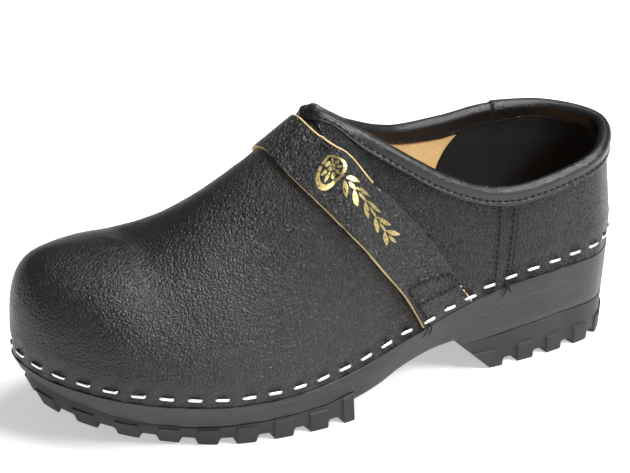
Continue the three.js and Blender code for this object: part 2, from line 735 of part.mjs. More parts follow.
function stapleFrame(u) {
  const v = vAtHeight(u, stapleHeight(u));
  const out = normalAt(u, v);
  const along = surface(u + 0.02, v).sub(surface(u - 0.02, v)).normalize();
  const rise = out.clone().cross(along).normalize();
  return { origin: surface(u, v), axes: [along, rise, out] };
}

// Seat of the crown: the leather, or the strap where the staple goes through the strap
function stapleSeat(u, strap) {
  const { origin, axes } = stapleFrame(u);
  const half = STAPLE_CROWN / 2;
  const probe = orientedBox(origin, axes, [[-half - 1, half + 1], [-0.5, 0.5], [0, STRAP_THICKNESS]]);
  const hit = probe.intersect(strap).volume() > 0.2;
  return hit ? GAP + STRAP_THICKNESS : 0;
}

function stapleGeometry(u, seat) {
  const { origin, axes } = stapleFrame(u);
  const [half, top] = [STAPLE_CROWN / 2, seat + GAP + STAPLE_FLAT];
  const inside = half - STAPLE_WIRE;
  const shape = new THREE.Shape();
  shape.moveTo(-half, -STAPLE_LEG);
  shape.lineTo(-half, top);
  shape.lineTo(half, top);
  shape.lineTo(half, -STAPLE_LEG);
  shape.lineTo(inside, -STAPLE_LEG);
  shape.lineTo(inside, seat + GAP);
  shape.lineTo(-inside, seat + GAP);
  shape.lineTo(-inside, -STAPLE_LEG);
  const wire = new THREE.ExtrudeGeometry(shape, { depth: STAPLE_WIRE, bevelEnabled: false });
  wire.translate(0, 0, -STAPLE_WIRE / 2);
  const [along, rise, out] = axes;
  wire.applyMatrix4(new THREE.Matrix4().makeBasis(along, out, rise.clone().negate()).setPosition(origin));
  return wire;
}

// Two holes through the leather for the legs, and one slot in the wood that takes both
function legHoles(u) {
  const { origin, axes } = stapleFrame(u);
  const width = STAPLE_WIRE / 2 + GAP;
  return [-1, 1].map((side) => {
    const centre = (side * (STAPLE_CROWN - STAPLE_WIRE)) / 2;
    const range = [centre - width, centre + width];
    return orientedBox(origin, axes, [range, [-width, width], [-WALL_DEPTH - 1, STRAP_THICKNESS * 2]]);
  });
}

function legSlot(u) {
  const { origin, axes } = stapleFrame(u);
  const [half, width] = [STAPLE_CROWN / 2 + GAP, STAPLE_WIRE / 2 + GAP];
  return orientedBox(origin, axes, [[-half, half], [-width, width], [-STAPLE_LEG - GAP, 0]]);
}

// ---- Assembly -------------------------------------------------------------------------------
const finish = (color, roughness, metalness = 0) => ({ color, roughness, metalness });
const BLACK_LEATHER = finish(0x1c1c1f, 0.5);
const BLACK_WOOD = finish(0x17171a, 0.4);
const RUBBER = finish(0x1b1b1d, 0.8);
const TAN = finish(0xc9a877, 0.8);
const SUEDE = finish(0x17181c, 0.95);
const STEEL = finish(0xc9cacc, 0.3, 1);
const FIBRE = finish(0x9a8a74, 0.9);
const COTTON = finish(0xd8d2c4, 0.9);

const clog = new THREE.Group();

function place(name, shape, look) {
  const geometry = shape.isBufferGeometry ? shape : geometryOf(shape);
  const mesh = new THREE.Mesh(geometry, new THREE.MeshStandardMaterial(look));
  mesh.name = name;
  clog.add(mesh);
}

const modelledStaples = stapleStations().slice(0, STAPLE_NODES);
const holes = modelledStaples.flatMap(legHoles).reduce((sum, hole) => sum.add(hole));
const slots = modelledStaples.map(legSlot).reduce((sum, slot) => sum.add(slot));
const strapWhole = instepStrap();

place("wooden_sole", soleBlank().subtract(acrossShoe(belowWood())).subtract(slots), BLACK_WOOD);
place("forefoot_tread", tread(foreTreadOutline(), [[-6.2, 6.2]], BLOCK_TOP), RUBBER);
place("heel_tread", tread(heelTreadOutline(), [[8.8, 15.2]], BLOCK_TOP), RUBBER);
place("vamp", manifoldOf(vampSheet()).subtract(holes), BLACK_LEATHER);
place("quarter", manifoldOf(quarterSheet()).subtract(holes), BLACK_LEATHER);
place("instep_strap", strapWhole.subtract(holes), BLACK_LEATHER);
place("vamp_lining", vampLining(), TAN);
place("quarter_lining", quarterLining(), TAN);
place("heel_grip", heelGrip(), SUEDE);
place("toe_puff", toePuff(), FIBRE);
place("heel_stiffener", heelStiffener(), FIBRE);
place("collar_binding", collarBinding(), BLACK_LEATHER);
place("collar_cord", collarCord(), COTTON);

modelledStaples.forEach((u, k) => {
  const name = `staple_${String(k + 1).padStart(2, "0")}`;
  place(name, stapleGeometry(u, stapleSeat(u, strapWhole)), STEEL);
});

// The origin is on the ground under the middle of the clog
const box = new THREE.Box3().setFromObject(clog);
const middle = box.getCenter(new THREE.Vector3());
clog.position.set(-middle.x, -middle.y, -box.min.z);

export default clog;
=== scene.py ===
import math

import bpy
import numpy as np
from mathutils import Matrix, Vector


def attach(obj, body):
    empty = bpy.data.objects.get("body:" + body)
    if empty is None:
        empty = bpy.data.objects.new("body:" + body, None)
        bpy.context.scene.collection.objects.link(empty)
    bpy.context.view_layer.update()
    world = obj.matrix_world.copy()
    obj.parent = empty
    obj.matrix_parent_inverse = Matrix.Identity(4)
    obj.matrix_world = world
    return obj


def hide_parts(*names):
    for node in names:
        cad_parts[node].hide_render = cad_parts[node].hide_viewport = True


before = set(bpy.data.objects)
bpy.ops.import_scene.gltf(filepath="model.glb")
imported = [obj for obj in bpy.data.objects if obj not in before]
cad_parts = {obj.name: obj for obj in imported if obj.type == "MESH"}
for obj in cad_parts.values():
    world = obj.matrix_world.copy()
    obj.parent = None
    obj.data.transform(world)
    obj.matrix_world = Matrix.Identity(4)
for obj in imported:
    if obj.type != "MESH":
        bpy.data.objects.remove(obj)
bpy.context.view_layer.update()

# A closed wooden clog for the left foot. Lengths below are millimetres in the frame of the
# shoemaker's last, +X to the toe, +Y to the outer side of the foot; pieces are placed in metres.
MM = 0.001
ORIGIN_SHIFT = np.array([0.1756, 0.6937, 0.0])  # from the last's frame to the clog's own frame

# ---- The last -------------------------------------------------------------------------------
STATIONS = 24
HALF = 12
PEAK = 6  # station of the instep peak
TOE_FAN = 2
FEATHER = [
    [141, -10, 32.5], [134.5, 12, 30], [117, 32, 26.5], [95, 43, 22.5], [68, 49, 19], [40, 50, 18.5],
    [12, 46, 21], [-14, 41, 26.5], [-42, 36, 33], [-70, 34, 38], [-98, 33, 40.5], [-124, 26, 41],
    [-141, 0, 41], [-124, -26, 41], [-98, -33, 40.5], [-70, -34, 38], [-42, -34, 33], [-14, -36, 26.5],
    [12, -41, 21], [40, -48, 18.5], [68, -52, 19], [95, -51, 22.5], [118, -43, 26.5], [134, -28, 30],
]
SPINE = [[92, -5, 75.5], [86, -4, 76], [68, -3, 84], [44, -2, 97], [11, 0, 120.5]]
COLLAR = [
    [11, 0, 120.5], [4, 10, 118.5], [-14, 18.5, 105], [-42, 27, 87], [-70, 29.3, 77.5], [-98, 29.3, 79.5],
    [-124, 23.2, 85], [-139.5, 0, 90.5], [-125, -23.2, 93], [-98, -31.6, 93.5], [-70, -31.2, 91.5],
    [-42, -28, 93], [-14, -18.5, 104.5], [4, -10, 119],
]
FULLNESS = [  # rise and flare at the feather line, run and drop at the top
    [40, 2, 40, 0], [34, 3, 35, 0], [29, 3, 30, 0], [28, 4, 26, 0], [32, 4, 26, 0], [38, 3, 24, 0],
    [46, 0, 18, 0], [38, -3, 6, 20], [24, -2, 2, 18], [15, 0, 1, 14], [15, 1, 1, 14], [17, 2, 0, 16],
    [17, 2, 0, 18], [17, 2, 0, 16], [15, 1, 1, 14], [15, 0, 1, 14], [24, -2, 2, 18], [38, -3, 6, 20],
    [46, 0, 18, 0], [44, 3, 23, 0], [40, 4, 25, 0], [35, 5, 42, 0], [37, 4, 46, 0], [43, 4, 45, 0],
]
SOLE_INSET = [15, 15, 15, 12, 4, 0, -3, 2, 2, 0, 1, 1.5, 2.5, 2, 1, 0, 3, 3, 0, 0, 4, 11, 14, 14]

LEATHER = 1.8
LINING = 1.2
STIFFENER = 1.0
GRIP = 0.8
GAP = 0.3
STRAP_THICKNESS = 1.8
LAP_EDGE = 0.0107
LINING_SEAM = 7.2
STACK = LEATHER + GAP + LINING
UP = np.array([0.0, 0.0, 1.0])


def smooth(a, b, x):
    t = np.clip((np.asarray(x, float) - a) / (b - a), 0, 1)
    return t * t * (3 - 2 * t)


def mix(a, b, t):
    return a + (b - a) * t


def unit(v):
    return v / np.maximum(np.linalg.norm(v, axis=-1, keepdims=True), 1e-12)


def along(rows, k, closed):
    """Smooth value of a table's rows at position k, for a closed or an open table."""
    rows, k = np.asarray(rows, float), np.asarray(k, float)
    n = len(rows)
    if closed:
        pos = np.mod(k, n)
        i = np.floor(pos).astype(int)
        row = lambda j: rows[np.mod(j, n)]
    else:
        pos = np.clip(k, 0, n - 1)
        i = np.minimum(np.floor(pos).astype(int), n - 2)
        longer = np.vstack([2 * rows[0] - rows[1], rows, 2 * rows[-1] - rows[-2]])
        row = lambda j: longer[j + 1]
    t = (pos - i)[..., None]
    a, b, c, d = row(i - 1), row(i), row(i + 1), row(i + 2)
    cubic = 3 * b - a - 3 * c + d
    return 0.5 * (2 * b + (c - a) * t + (2 * a - 5 * b + 4 * c - d) * t**2 + cubic * t**3)


def fold(u):
    w = np.mod(u, STATIONS)
    return np.minimum(w, STATIONS - w)


def feather(u):
    return along(FEATHER, u, True)


def top_edge(u):
    """The crest of the upper in front of the instep peak, and the collar's edge behind it."""
    f = fold(u)
    w = np.maximum(f - PEAK, 0)
    crowd, full = 0.55, HALF - PEAK
    end = full + 1 - math.exp(-full / crowd)
    s = w + 1 - np.exp(-w / crowd) + (w / full) ** 2 * (full + 1 - end)
    row = np.where(np.mod(u, STATIONS) <= HALF, s, len(COLLAR) - s)
    crest = along(SPINE, np.maximum(f - TOE_FAN, 0), False)
    return np.where((f <= PEAK)[..., None], crest, along(COLLAR, row, True))


def outward(u):
    d = feather(u + 0.02) - feather(u - 0.02)
    return unit(np.stack([d[..., 1], -d[..., 0], 0 * d[..., 0]], -1))


def surface(u, v, depth=0.0):
    """Outside of the upper leather at station u and height share v, sunk by a depth."""
    u, v, depth = np.broadcast_arrays(*(np.asarray(a, float) for a in (u, v, depth)))
    f, foot, top, n = fold(u), feather(u), top_edge(u), outward(u)
    radial = unit((foot - top) * [1, 1, 0])
    side_sign = np.where(np.mod(u, STATIONS) < HALF, 1.0, -1.0)
    across = np.stack([0 * u, side_sign, 0 * u], -1)
    way = mix(radial, across, smooth(2, 3, f)[..., None])
    way = unit(mix(way, n, smooth(PEAK + 1, PEAK + 3, f)[..., None]))
    rise, flare, run, drop = np.moveaxis(along(FULLNESS, u, True), -1, 0)
    down = np.where(f <= PEAK, 0, np.maximum(drop, 0) * smooth(PEAK, PEAK + 1, f))
    side = np.maximum(run, 0)
    foot_normal = unit(n * rise[..., None] - UP * flare[..., None])
    top_normal = unit(way * down[..., None] + UP * side[..., None])
    shrink = 0.55 * depth * side / np.maximum(np.hypot(side, down), 1e-9)
    p0 = foot - foot_normal * depth[..., None]
    p3 = top - top_normal * depth[..., None]
    p1 = p0 + UP * (rise - shrink)[..., None] + n * flare[..., None]
    p2 = p3 + way * np.maximum(side - shrink, 0)[..., None] - UP * down[..., None]
    t = v[..., None]
    return (1 - t) ** 3 * p0 + 3 * (1 - t) ** 2 * t * p1 + 3 * (1 - t) * t * t * p2 + t**3 * p3


def normal_at(u, v, depth=0.0):
    t = np.clip(v, 0, 0.985)
    du = surface(u + 0.02, t, depth) - surface(u - 0.02, t, depth)
    dv = surface(u, t + 0.01, depth) - surface(u, np.maximum(t - 0.01, 0), depth)
    return unit(np.cross(du, dv))


def v_at_height(u, height):
    """Height share at which the leather stands so far above the feather line."""
    low, high = 0.0 * u, 0.0 * u + 0.9
    goal = feather(u)[..., 2] + height
    for _ in range(24):
        mid = (low + high) / 2
        under = surface(u, mid)[..., 2] < goal
        low, high = np.where(under, mid, low), np.where(under, high, mid)
    return low


def staple_height(u):
    return 3.6 + 2.4 * smooth(8.5, 11.5, fold(u))


def wall_height(u):
    return staple_height(u) + 3.0


def waves(p, length, seed, count=7):
    """Soft unevenness of the given length over points p, from -1 to 1."""
    rng = np.random.RandomState(seed)
    total = 0
    for _ in range(count):
        k = unit(rng.normal(size=3)) * rng.uniform(0.7, 1.5) * 2 * math.pi / length
        total = total + np.sin(p @ k + rng.uniform(0, 6.28))
    return total / count * 1.6


# ---- Making pieces --------------------------------------------------------------------------
def leave_all():
    if bpy.context.object and bpy.context.object.mode != "OBJECT":
        bpy.ops.object.mode_set(mode="OBJECT")
    bpy.ops.object.select_all(action="DESELECT")


def take(piece):
    leave_all()
    piece.select_set(True)
    bpy.context.view_layer.objects.active = piece
    return piece


def laid_grid(name, points):
    """A grid laid over rows of points, in millimetres of the last's frame."""
    n, m = points.shape[:2]
    leave_all()
    bpy.ops.mesh.primitive_grid_add(x_subdivisions=m - 1, y_subdivisions=n - 1, size=0.1)
    piece = bpy.context.object
    piece.name = piece.data.name = name
    placed = (points + ORIGIN_SHIFT) * MM
    piece.data.vertices.foreach_set("co", placed.reshape(-1, 3).astype(np.float32).ravel())
    piece.data.update()
    return piece


def edit(piece, *steps):
    take(piece)
    bpy.ops.object.mode_set(mode="EDIT")
    bpy.ops.mesh.select_mode(type="VERT")
    bpy.ops.mesh.select_all(action="SELECT")
    for step in steps:
        step()
    bpy.ops.object.mode_set(mode="OBJECT")
    return piece


def merge():
    bpy.ops.mesh.remove_doubles(threshold=2e-6)


def face_out():
    bpy.ops.mesh.normals_make_consistent(inside=False)


def select_points(piece, indices):
    take(piece)
    mesh = piece.data
    mask = np.zeros(len(mesh.vertices), bool)
    mask[indices] = True
    ends = np.zeros(len(mesh.edges) * 2, np.int32)
    mesh.edges.foreach_get("vertices", ends)
    mesh.edges.foreach_set("select", mask[ends].reshape(-1, 2).all(1))
    mesh.polygons.foreach_set("select", np.zeros(len(mesh.polygons), bool))
    mesh.vertices.foreach_set("select", mask)
    bpy.ops.object.mode_set(mode="EDIT")


def span(piece, indices):
    """Closes a loop of points, or joins two points, with a face or an edge."""
    select_points(piece, indices)
    bpy.ops.mesh.select_mode(type="VERT")
    bpy.ops.mesh.edge_face_add()
    bpy.ops.object.mode_set(mode="OBJECT")


def modify(piece, kind, **settings):
    take(piece)
    made = piece.modifiers.new(kind.title(), kind)
    for key, value in settings.items():
        setattr(made, key, value)
    bpy.ops.object.modifier_apply(modifier=made.name)
    return piece


def thicken(piece, mm, rim=0):
    return modify(piece, "SOLIDIFY", thickness=mm * MM, offset=-1, use_even_offset=False, material_offset_rim=rim)


def soften(piece, mm, angle=50, segments=2):
    return modify(
        piece, "BEVEL", width=mm * MM, segments=segments, limit_method="ANGLE", angle_limit=math.radians(angle)
    )


def faces_of(piece):
    count = len(piece.data.polygons)
    centres = np.zeros(count * 3, np.float32)
    normals = np.zeros(count * 3, np.float32)
    piece.data.polygons.foreach_get("center", centres)
    piece.data.polygons.foreach_get("normal", normals)
    return centres.reshape(-1, 3) / MM - ORIGIN_SHIFT, normals.reshape(-1, 3)


def turn_out(piece, towards):
    """Turns an open sheet so that its faces look the way of `towards`, one vector or one each."""
    _, normals = faces_of(piece)
    if float(np.sum(normals * towards)) < 0:
        edit(piece, bpy.ops.mesh.flip_normals)
    return piece


def complete(piece, finishes, nodes=(), angle=40):
    """Gives a piece its materials and shading, and hangs it on the clog."""
    take(piece)
    piece.data.materials.clear()
    for made in finishes if isinstance(finishes, (list, tuple)) else [finishes]:
        piece.data.materials.append(made)
    bpy.ops.object.shade_smooth_by_angle(angle=math.radians(angle))
    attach(piece, "root")
    if nodes:
        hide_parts(*nodes)
    return piece


def copies(source, matrices, name):
    """Copies of one piece, each with its own mesh, in millimetres of the last's frame."""
    made = []
    for k, matrix in enumerate(matrices):
        copy = source.copy()
        copy.data = source.data.copy()
        copy.name = copy.data.name = f"{name}_{k + 1:02d}"
        copy.data.transform(matrix)
        bpy.context.scene.collection.objects.link(copy)
        made.append(copy)
    return made


def placing(origin, x_axis, y_axis, z_axis):
    """Matrix that takes a piece in metres to a frame given in millimetres of the last."""
    matrix = Matrix.Identity(4)
    for row in range(3):
        matrix[row][0], matrix[row][1], matrix[row][2] = x_axis[row], y_axis[row], z_axis[row]
        matrix[row][3] = (origin[row] + ORIGIN_SHIFT[row]) * MM
    return matrix


def joined(pieces, name):
    leave_all()
    for piece in pieces:
        piece.select_set(True)
    bpy.context.view_layer.objects.active = pieces[0]
    bpy.ops.object.join()
    made = bpy.context.object
    made.name = made.data.name = name
    return made


def even(path, step=None, count=None):
    """Points spaced evenly along a path, as positions in its own numbering."""
    length = np.concatenate([[0], np.cumsum(np.linalg.norm(np.diff(path, axis=0), axis=1))])
    count = count or max(int(round(length[-1] / step)), 1)
    return np.interp(np.linspace(0, length[-1], count + 1), length, np.arange(len(path)))


# ---- Materials ------------------------------------------------------------------------------
def colour(code):
    """An sRGB hex colour as linear red, green, blue and alpha."""
    parts = [int(code[i : i + 2], 16) / 255 for i in (1, 3, 5)]
    return [p / 12.92 if p <= 0.04045 else ((p + 0.055) / 1.055) ** 2.4 for p in parts] + [1.0]


def add(tree, kind, inputs=None, **settings):
    """Adds a node, sets its own settings, and fills its inputs with values or links."""
    node = tree.nodes.new(kind)
    for key, value in settings.items():
        setattr(node, key, value)
    for key, value in (inputs or {}).items():
        if isinstance(value, bpy.types.NodeSocket):
            tree.links.new(value, node.inputs[key])
        else:
            node.inputs[key].default_value = value
    return node


def new_material(name):
    made = bpy.data.materials.new(name)
    made.use_nodes = True
    made.node_tree.nodes.clear()
    tree = made.node_tree
    place = add(tree, "ShaderNodeTexCoord").outputs["Object"]
    return made, tree, place


def close(tree, shader):
    output = add(tree, "ShaderNodeOutputMaterial")
    tree.links.new(shader.outputs[0], output.inputs["Surface"])


def per_mm(length):
    """Texture scale at which one repeat is so many millimetres."""
    return 1 / (length * MM)


def pebbled_leather(name, base, ridge, cell, depth, roughness, toe_calm=False):
    """Full-grain cowhide, aniline dyed and pressed with a pebble grain: rounded pebbles between fine
    creases darkened with painted shade, and a satin finish that is greyer and rougher where it was rubbed."""
    made, tree, place = new_material(name)
    drift = add(tree, "ShaderNodeTexNoise", {"Vector": place, "Scale": per_mm(5), "Detail": 2.0})
    shift = add(tree, "ShaderNodeVectorMath", {0: drift.outputs["Color"], 1: (0.5, 0.5, 0.5)}, operation="SUBTRACT")
    bent = add(tree, "ShaderNodeVectorMath", {0: shift.outputs[0], "Scale": 1.6 * MM}, operation="SCALE")
    moved = add(tree, "ShaderNodeVectorMath", {0: place, 1: bent.outputs[0]}, operation="ADD")
    cells = add(
        tree, "ShaderNodeTexVoronoi", {"Vector": moved.outputs[0], "Scale": per_mm(cell)}, feature="DISTANCE_TO_EDGE"
    )
    small = add(
        tree, "ShaderNodeTexVoronoi", {"Vector": moved.outputs[0], "Scale": per_mm(cell * 0.5)},
        feature="DISTANCE_TO_EDGE",
    )
    pebble = add(
        tree, "ShaderNodeMapRange", {"Value": cells.outputs["Distance"], "From Max": 0.32},
        interpolation_type="SMOOTHSTEP",
    )
    fine = add(
        tree, "ShaderNodeMapRange", {"Value": small.outputs["Distance"], "From Max": 0.25, "To Max": 0.35},
        interpolation_type="SMOOTHSTEP",
    )
    height = add(tree, "ShaderNodeMath", {0: pebble.outputs[0], 1: fine.outputs[0]}, operation="ADD")
    if toe_calm:
        split = add(tree, "ShaderNodeSeparateXYZ", {"Vector": place})
        stretch = add(
            tree, "ShaderNodeMapRange",
            {"Value": split.outputs["X"], "From Min": -0.02, "From Max": 0.07, "To Min": 1.0, "To Max": 0.16},
            interpolation_type="SMOOTHSTEP",
        )
        height = add(tree, "ShaderNodeMath", {0: height.outputs[0], 1: stretch.outputs[0]}, operation="MULTIPLY")
    pores = add(tree, "ShaderNodeTexNoise", {"Vector": place, "Scale": per_mm(0.6), "Detail": 2.0})
    grit = add(tree, "ShaderNodeMath", {0: pores.outputs[0], 1: 0.22}, operation="MULTIPLY")
    relief = add(tree, "ShaderNodeMath", {0: height.outputs[0], 1: grit.outputs[0]}, operation="ADD")
    bump = add(tree, "ShaderNodeBump", {"Height": relief.outputs[0], "Strength": 0.75, "Distance": depth * MM})
    rubbed = add(tree, "ShaderNodeTexNoise", {"Vector": place, "Scale": per_mm(38), "Detail": 4.0})
    tone = add(tree, "ShaderNodeMapRange", {"Value": rubbed.outputs[0], "From Min": 0.35, "From Max": 0.7})
    shade = add(
        tree, "ShaderNodeMix",
        {"Factor": tone.outputs[0], "A": colour(base), "B": colour(ridge)}, data_type="RGBA",
    )
    # Painted shade: the colour is darkened towards near-black in the creases between the pebbles, where shade falls, on
    # top of their bump relief
    crease_shade_amount = add(tree, "ShaderNodeMapRange", {"Value": pebble.outputs[0], "To Min": 0.55, "To Max": 1.0})
    painted_crease_shade = add(
        tree, "ShaderNodeMix",
        {"Factor": crease_shade_amount.outputs[0], "A": colour("#0b0b0c"), "B": shade.outputs["Result"]}, data_type="RGBA",
    )
    gloss = add(
        tree, "ShaderNodeMapRange",
        {"Value": rubbed.outputs[0], "From Min": 0.3, "From Max": 0.75, "To Min": roughness - 0.05,
         "To Max": roughness + 0.07},
    )
    shader = add(
        tree, "ShaderNodeBsdfPrincipled",
        {"Base Color": painted_crease_shade.outputs["Result"], "Roughness": gloss.outputs[0], "Normal": bump.outputs[0],
         "IOR": 1.5},
    )
    close(tree, shader)
    return made


def grained_wood(name, base, streak, roughness, coat, bump_mm, ring=1.1):
    """Alder wood turned on a copying lathe: long fine grain from heel to toe, with darker pores
    as short streaks. Lacquered, the grain still shows as fine horizontal lines."""
    made, tree, place = new_material(name)
    stretched = add(
        tree, "ShaderNodeMapping", {"Vector": place, "Scale": (per_mm(26), per_mm(ring), per_mm(ring))}
    )
    lines = add(tree, "ShaderNodeTexNoise", {"Vector": stretched.outputs[0], "Scale": 1.0, "Detail": 5.0})
    broad = add(
        tree, "ShaderNodeMapping", {"Vector": place, "Scale": (per_mm(90), per_mm(6), per_mm(6))}
    )
    bands = add(tree, "ShaderNodeTexNoise", {"Vector": broad.outputs[0], "Scale": 1.0, "Detail": 3.0})
    both = add(tree, "ShaderNodeMath", {0: lines.outputs[0], 1: bands.outputs[0]}, operation="MULTIPLY")
    tone = add(
        tree, "ShaderNodeMapRange", {"Value": both.outputs[0], "From Min": 0.16, "From Max": 0.36},
    )
    shade = add(
        tree, "ShaderNodeMix", {"Factor": tone.outputs[0], "A": colour(base), "B": colour(streak)}, data_type="RGBA"
    )
    bump = add(
        tree, "ShaderNodeBump", {"Height": lines.outputs[0], "Strength": 0.6, "Distance": bump_mm * MM}
    )
    shader = add(
        tree, "ShaderNodeBsdfPrincipled",
        {"Base Color": shade.outputs["Result"], "Roughness": roughness, "Normal": bump.outputs[0], "IOR": 1.5,
         "Coat Weight": coat, "Coat Roughness": 0.35},
    )
    close(tree, shader)
    return made


def moulded_rubber(name, base, worn):
    """Black styrene rubber, compression moulded: matte with a fine matt skin, and a dusty grey
    bloom in patches."""
    made, tree, place = new_material(name)
    grit = add(tree, "ShaderNodeTexNoise", {"Vector": place, "Scale": per_mm(0.9), "Detail": 3.0})
    bloom = add(tree, "ShaderNodeTexNoise", {"Vector": place, "Scale": per_mm(14), "Detail": 5.0})
    tone = add(tree, "ShaderNodeMapRange", {"Value": bloom.outputs[0], "From Min": 0.42, "From Max": 0.72})
    shade = add(
        tree, "ShaderNodeMix", {"Factor": tone.outputs[0], "A": colour(base), "B": colour(worn)}, data_type="RGBA"
    )
    bump = add(tree, "ShaderNodeBump", {"Height": grit.outputs[0], "Strength": 0.5, "Distance": 0.15 * MM})
    shader = add(
        tree, "ShaderNodeBsdfPrincipled",
        {"Base Color": shade.outputs["Result"], "Roughness": 0.62, "Normal": bump.outputs[0], "IOR": 1.52},
    )
    close(tree, shader)
    return made


def napped(name, base, lifted, fibre, roughness, sheen, bump_mm):
    """A napped or fibrous sheet, such as suede, flesh-side leather, board or cut edges: short
    fibres give a soft mottled tone."""
    made, tree, place = new_material(name)
    hairs = add(tree, "ShaderNodeTexNoise", {"Vector": place, "Scale": per_mm(fibre), "Detail": 4.0})
    patch = add(tree, "ShaderNodeTexNoise", {"Vector": place, "Scale": per_mm(fibre * 14), "Detail": 3.0})
    blend = add(tree, "ShaderNodeMath", {0: hairs.outputs[0], 1: patch.outputs[0]}, operation="ADD")
    tone = add(tree, "ShaderNodeMapRange", {"Value": blend.outputs[0], "From Min": 0.75, "From Max": 1.3})
    shade = add(
        tree, "ShaderNodeMix", {"Factor": tone.outputs[0], "A": colour(base), "B": colour(lifted)}, data_type="RGBA"
    )
    bump = add(tree, "ShaderNodeBump", {"Height": hairs.outputs[0], "Strength": 0.5, "Distance": bump_mm * MM})
    shader = add(
        tree, "ShaderNodeBsdfPrincipled",
        {"Base Color": shade.outputs["Result"], "Roughness": roughness, "Normal": bump.outputs[0],
         "Sheen Weight": sheen, "IOR": 1.5},
    )
    close(tree, shader)
    return made


def bright_metal(name, base, dull, roughness, wear_colour=None, wear=0.5):
    """Drawn steel wire, or foil stamped on leather: bright, with fine rubbed patches. Worn foil
    lets the leather below show through."""
    made, tree, place = new_material(name)
    rub = add(tree, "ShaderNodeTexNoise", {"Vector": place, "Scale": per_mm(1.1), "Detail": 4.0})
    tone = add(tree, "ShaderNodeMapRange", {"Value": rub.outputs[0], "From Min": 0.35, "From Max": 0.65})
    shade = add(
        tree, "ShaderNodeMix", {"Factor": tone.outputs[0], "A": colour(base), "B": colour(dull)}, data_type="RGBA"
    )
    bump = add(tree, "ShaderNodeBump", {"Height": rub.outputs[0], "Strength": 0.4, "Distance": 0.1 * MM})
    tint, metal = shade.outputs["Result"], 1.0
    if wear_colour:
        gone = add(
            tree, "ShaderNodeMapRange",
            {"Value": rub.outputs[0], "From Min": wear, "From Max": wear + 0.05, "To Min": 1.0, "To Max": 0.0},
        )
        laid = add(
            tree, "ShaderNodeMix",
            {"Factor": gone.outputs[0], "A": colour(wear_colour), "B": tint}, data_type="RGBA",
        )
        tint, metal = laid.outputs["Result"], gone.outputs[0]
    shader = add(
        tree, "ShaderNodeBsdfPrincipled",
        {"Base Color": tint, "Metallic": metal, "Roughness": roughness, "Normal": bump.outputs[0]},
    )
    close(tree, shader)
    return made


UPPER = pebbled_leather("Pebbled cowhide black", "#121214", "#1c1c1e", 1.7, 1.5, 0.38, toe_calm=True)
STRAP_HIDE = pebbled_leather("Pebbled cowhide black strap", "#121214", "#1c1c1e", 2.3, 1.15, 0.38)
BINDING = pebbled_leather("Smooth calf binding black", "#0e0e10", "#161618", 1.1, 0.10, 0.30)
CUT_EDGE = napped("Raw cut edge of vegetable tanned leather", "#c8a566", "#efd7a2", 0.7, 0.8, 0.1, 0.1)
DYED_EDGE = napped("Dyed cut edge of leather", "#121213", "#242120", 0.7, 0.75, 0.05, 0.1)
LINING_HIDE = napped("Natural pigskin lining", "#dfb878", "#efd09a", 1.1, 0.7, 0.1, 0.15)
SEAM_BROWN = napped("Dark waxed seam", "#2a160b", "#4a2a16", 0.8, 0.6, 0.05, 0.1)
SUEDE = napped("Black pig suede", "#08090c", "#0c0d11", 0.9, 1.0, 0.0, 0.12)
BOARD = napped("Cellulose fibreboard", "#8f7f68", "#a89878", 1.5, 0.9, 0.0, 0.1)
COTTON = napped("Twisted cotton cord", "#c8c0ae", "#e0dac8", 0.5, 0.9, 0.1, 0.15)
THREAD = napped("Waxed black polyester thread", "#030304", "#070708", 0.3, 0.9, 0.0, 0.08)
LACQUER = grained_wood("Black lacquered alder", "#0a0a0b", "#1e1e20", 0.5, 0.10, 0.5)
FOOTBED = grained_wood("Sanded natural alder", "#b98a55", "#d6ab73", 0.6, 0.0, 0.08, ring=1.6)
RUBBER = moulded_rubber("Moulded black rubber", "#111112", "#1e1e1f")
STEEL = bright_metal("Drawn steel wire", "#e9eaec", "#bfc1c4", 0.28)
GOLD = bright_metal("Worn gold foil", "#f3e3a6", "#cbb468", 0.34, wear_colour="#1b1a18", wear=0.60)

# ---- Staples round the feather line ---------------------------------------------------------
STAPLES = 57
STAPLE_PHASE = 0.44
STAPLE_CROWN = 6.4
WIRE_WIDE, WIRE_FLAT = 1.25, 0.75
STAPLE_LEG = 6.0
ring = np.linspace(0, STATIONS, 2401)
steps = np.concatenate([[0], np.cumsum(np.linalg.norm(np.diff(feather(ring), axis=0), axis=1))])
staple_u = np.interp((np.arange(STAPLES) + STAPLE_PHASE) * steps[-1] / STAPLES, steps, ring)
staple_v = v_at_height(staple_u, staple_height(staple_u))
staple_at = surface(staple_u, staple_v)


def pressed(p):
    """How deep the staples press the leather in at points p, with a little bulge between them."""
    flat = p.reshape(-1, 3)
    near = np.full(len(flat), 1e9)
    for k in range(0, len(flat), 20000):
        d = np.linalg.norm(flat[k : k + 20000, None] - staple_at[None], axis=2)
        near[k : k + 20000] = d.min(1)
    near = near.reshape(p.shape[:-1])
    return 0.55 * np.exp(-((near / 3.4) ** 2)) - 0.25 * np.exp(-(((near - 7) / 3.0) ** 2))


# ---- Leather of the upper -------------------------------------------------------------------
def creases(u, v, p):
    """Fine folds that run down from the collar to the strap, where the foot bends."""
    between = smooth(6.5, 7.1, fold(u)) * (1 - smooth(8.1, 8.8, fold(u)))
    where = between * smooth(0.28, 0.5, v) * (1 - smooth(0.86, 0.95, v))
    run = p[..., 0] * 0.92 - p[..., 2] * 0.30
    run = run + 1.6 * waves(p, 15, 4)
    fold_line = np.abs(np.sin(run * math.pi / 4.4)) ** 0.6
    strength = 0.5 + 0.5 * waves(p, 11, 9)
    return where * 0.42 * (1 - fold_line) * np.clip(strength, 0, 1)


def relief(u, v, p):
    return pressed(p) + creases(u, v, p) + 0.18 * waves(p, 34, 2) + 0.06 * waves(p, 9, 3)


def leather(name, u, v):
    u, v = np.broadcast_arrays(u, v)
    return laid_grid(name, surface(u, v, relief(u, v, surface(u, v))))


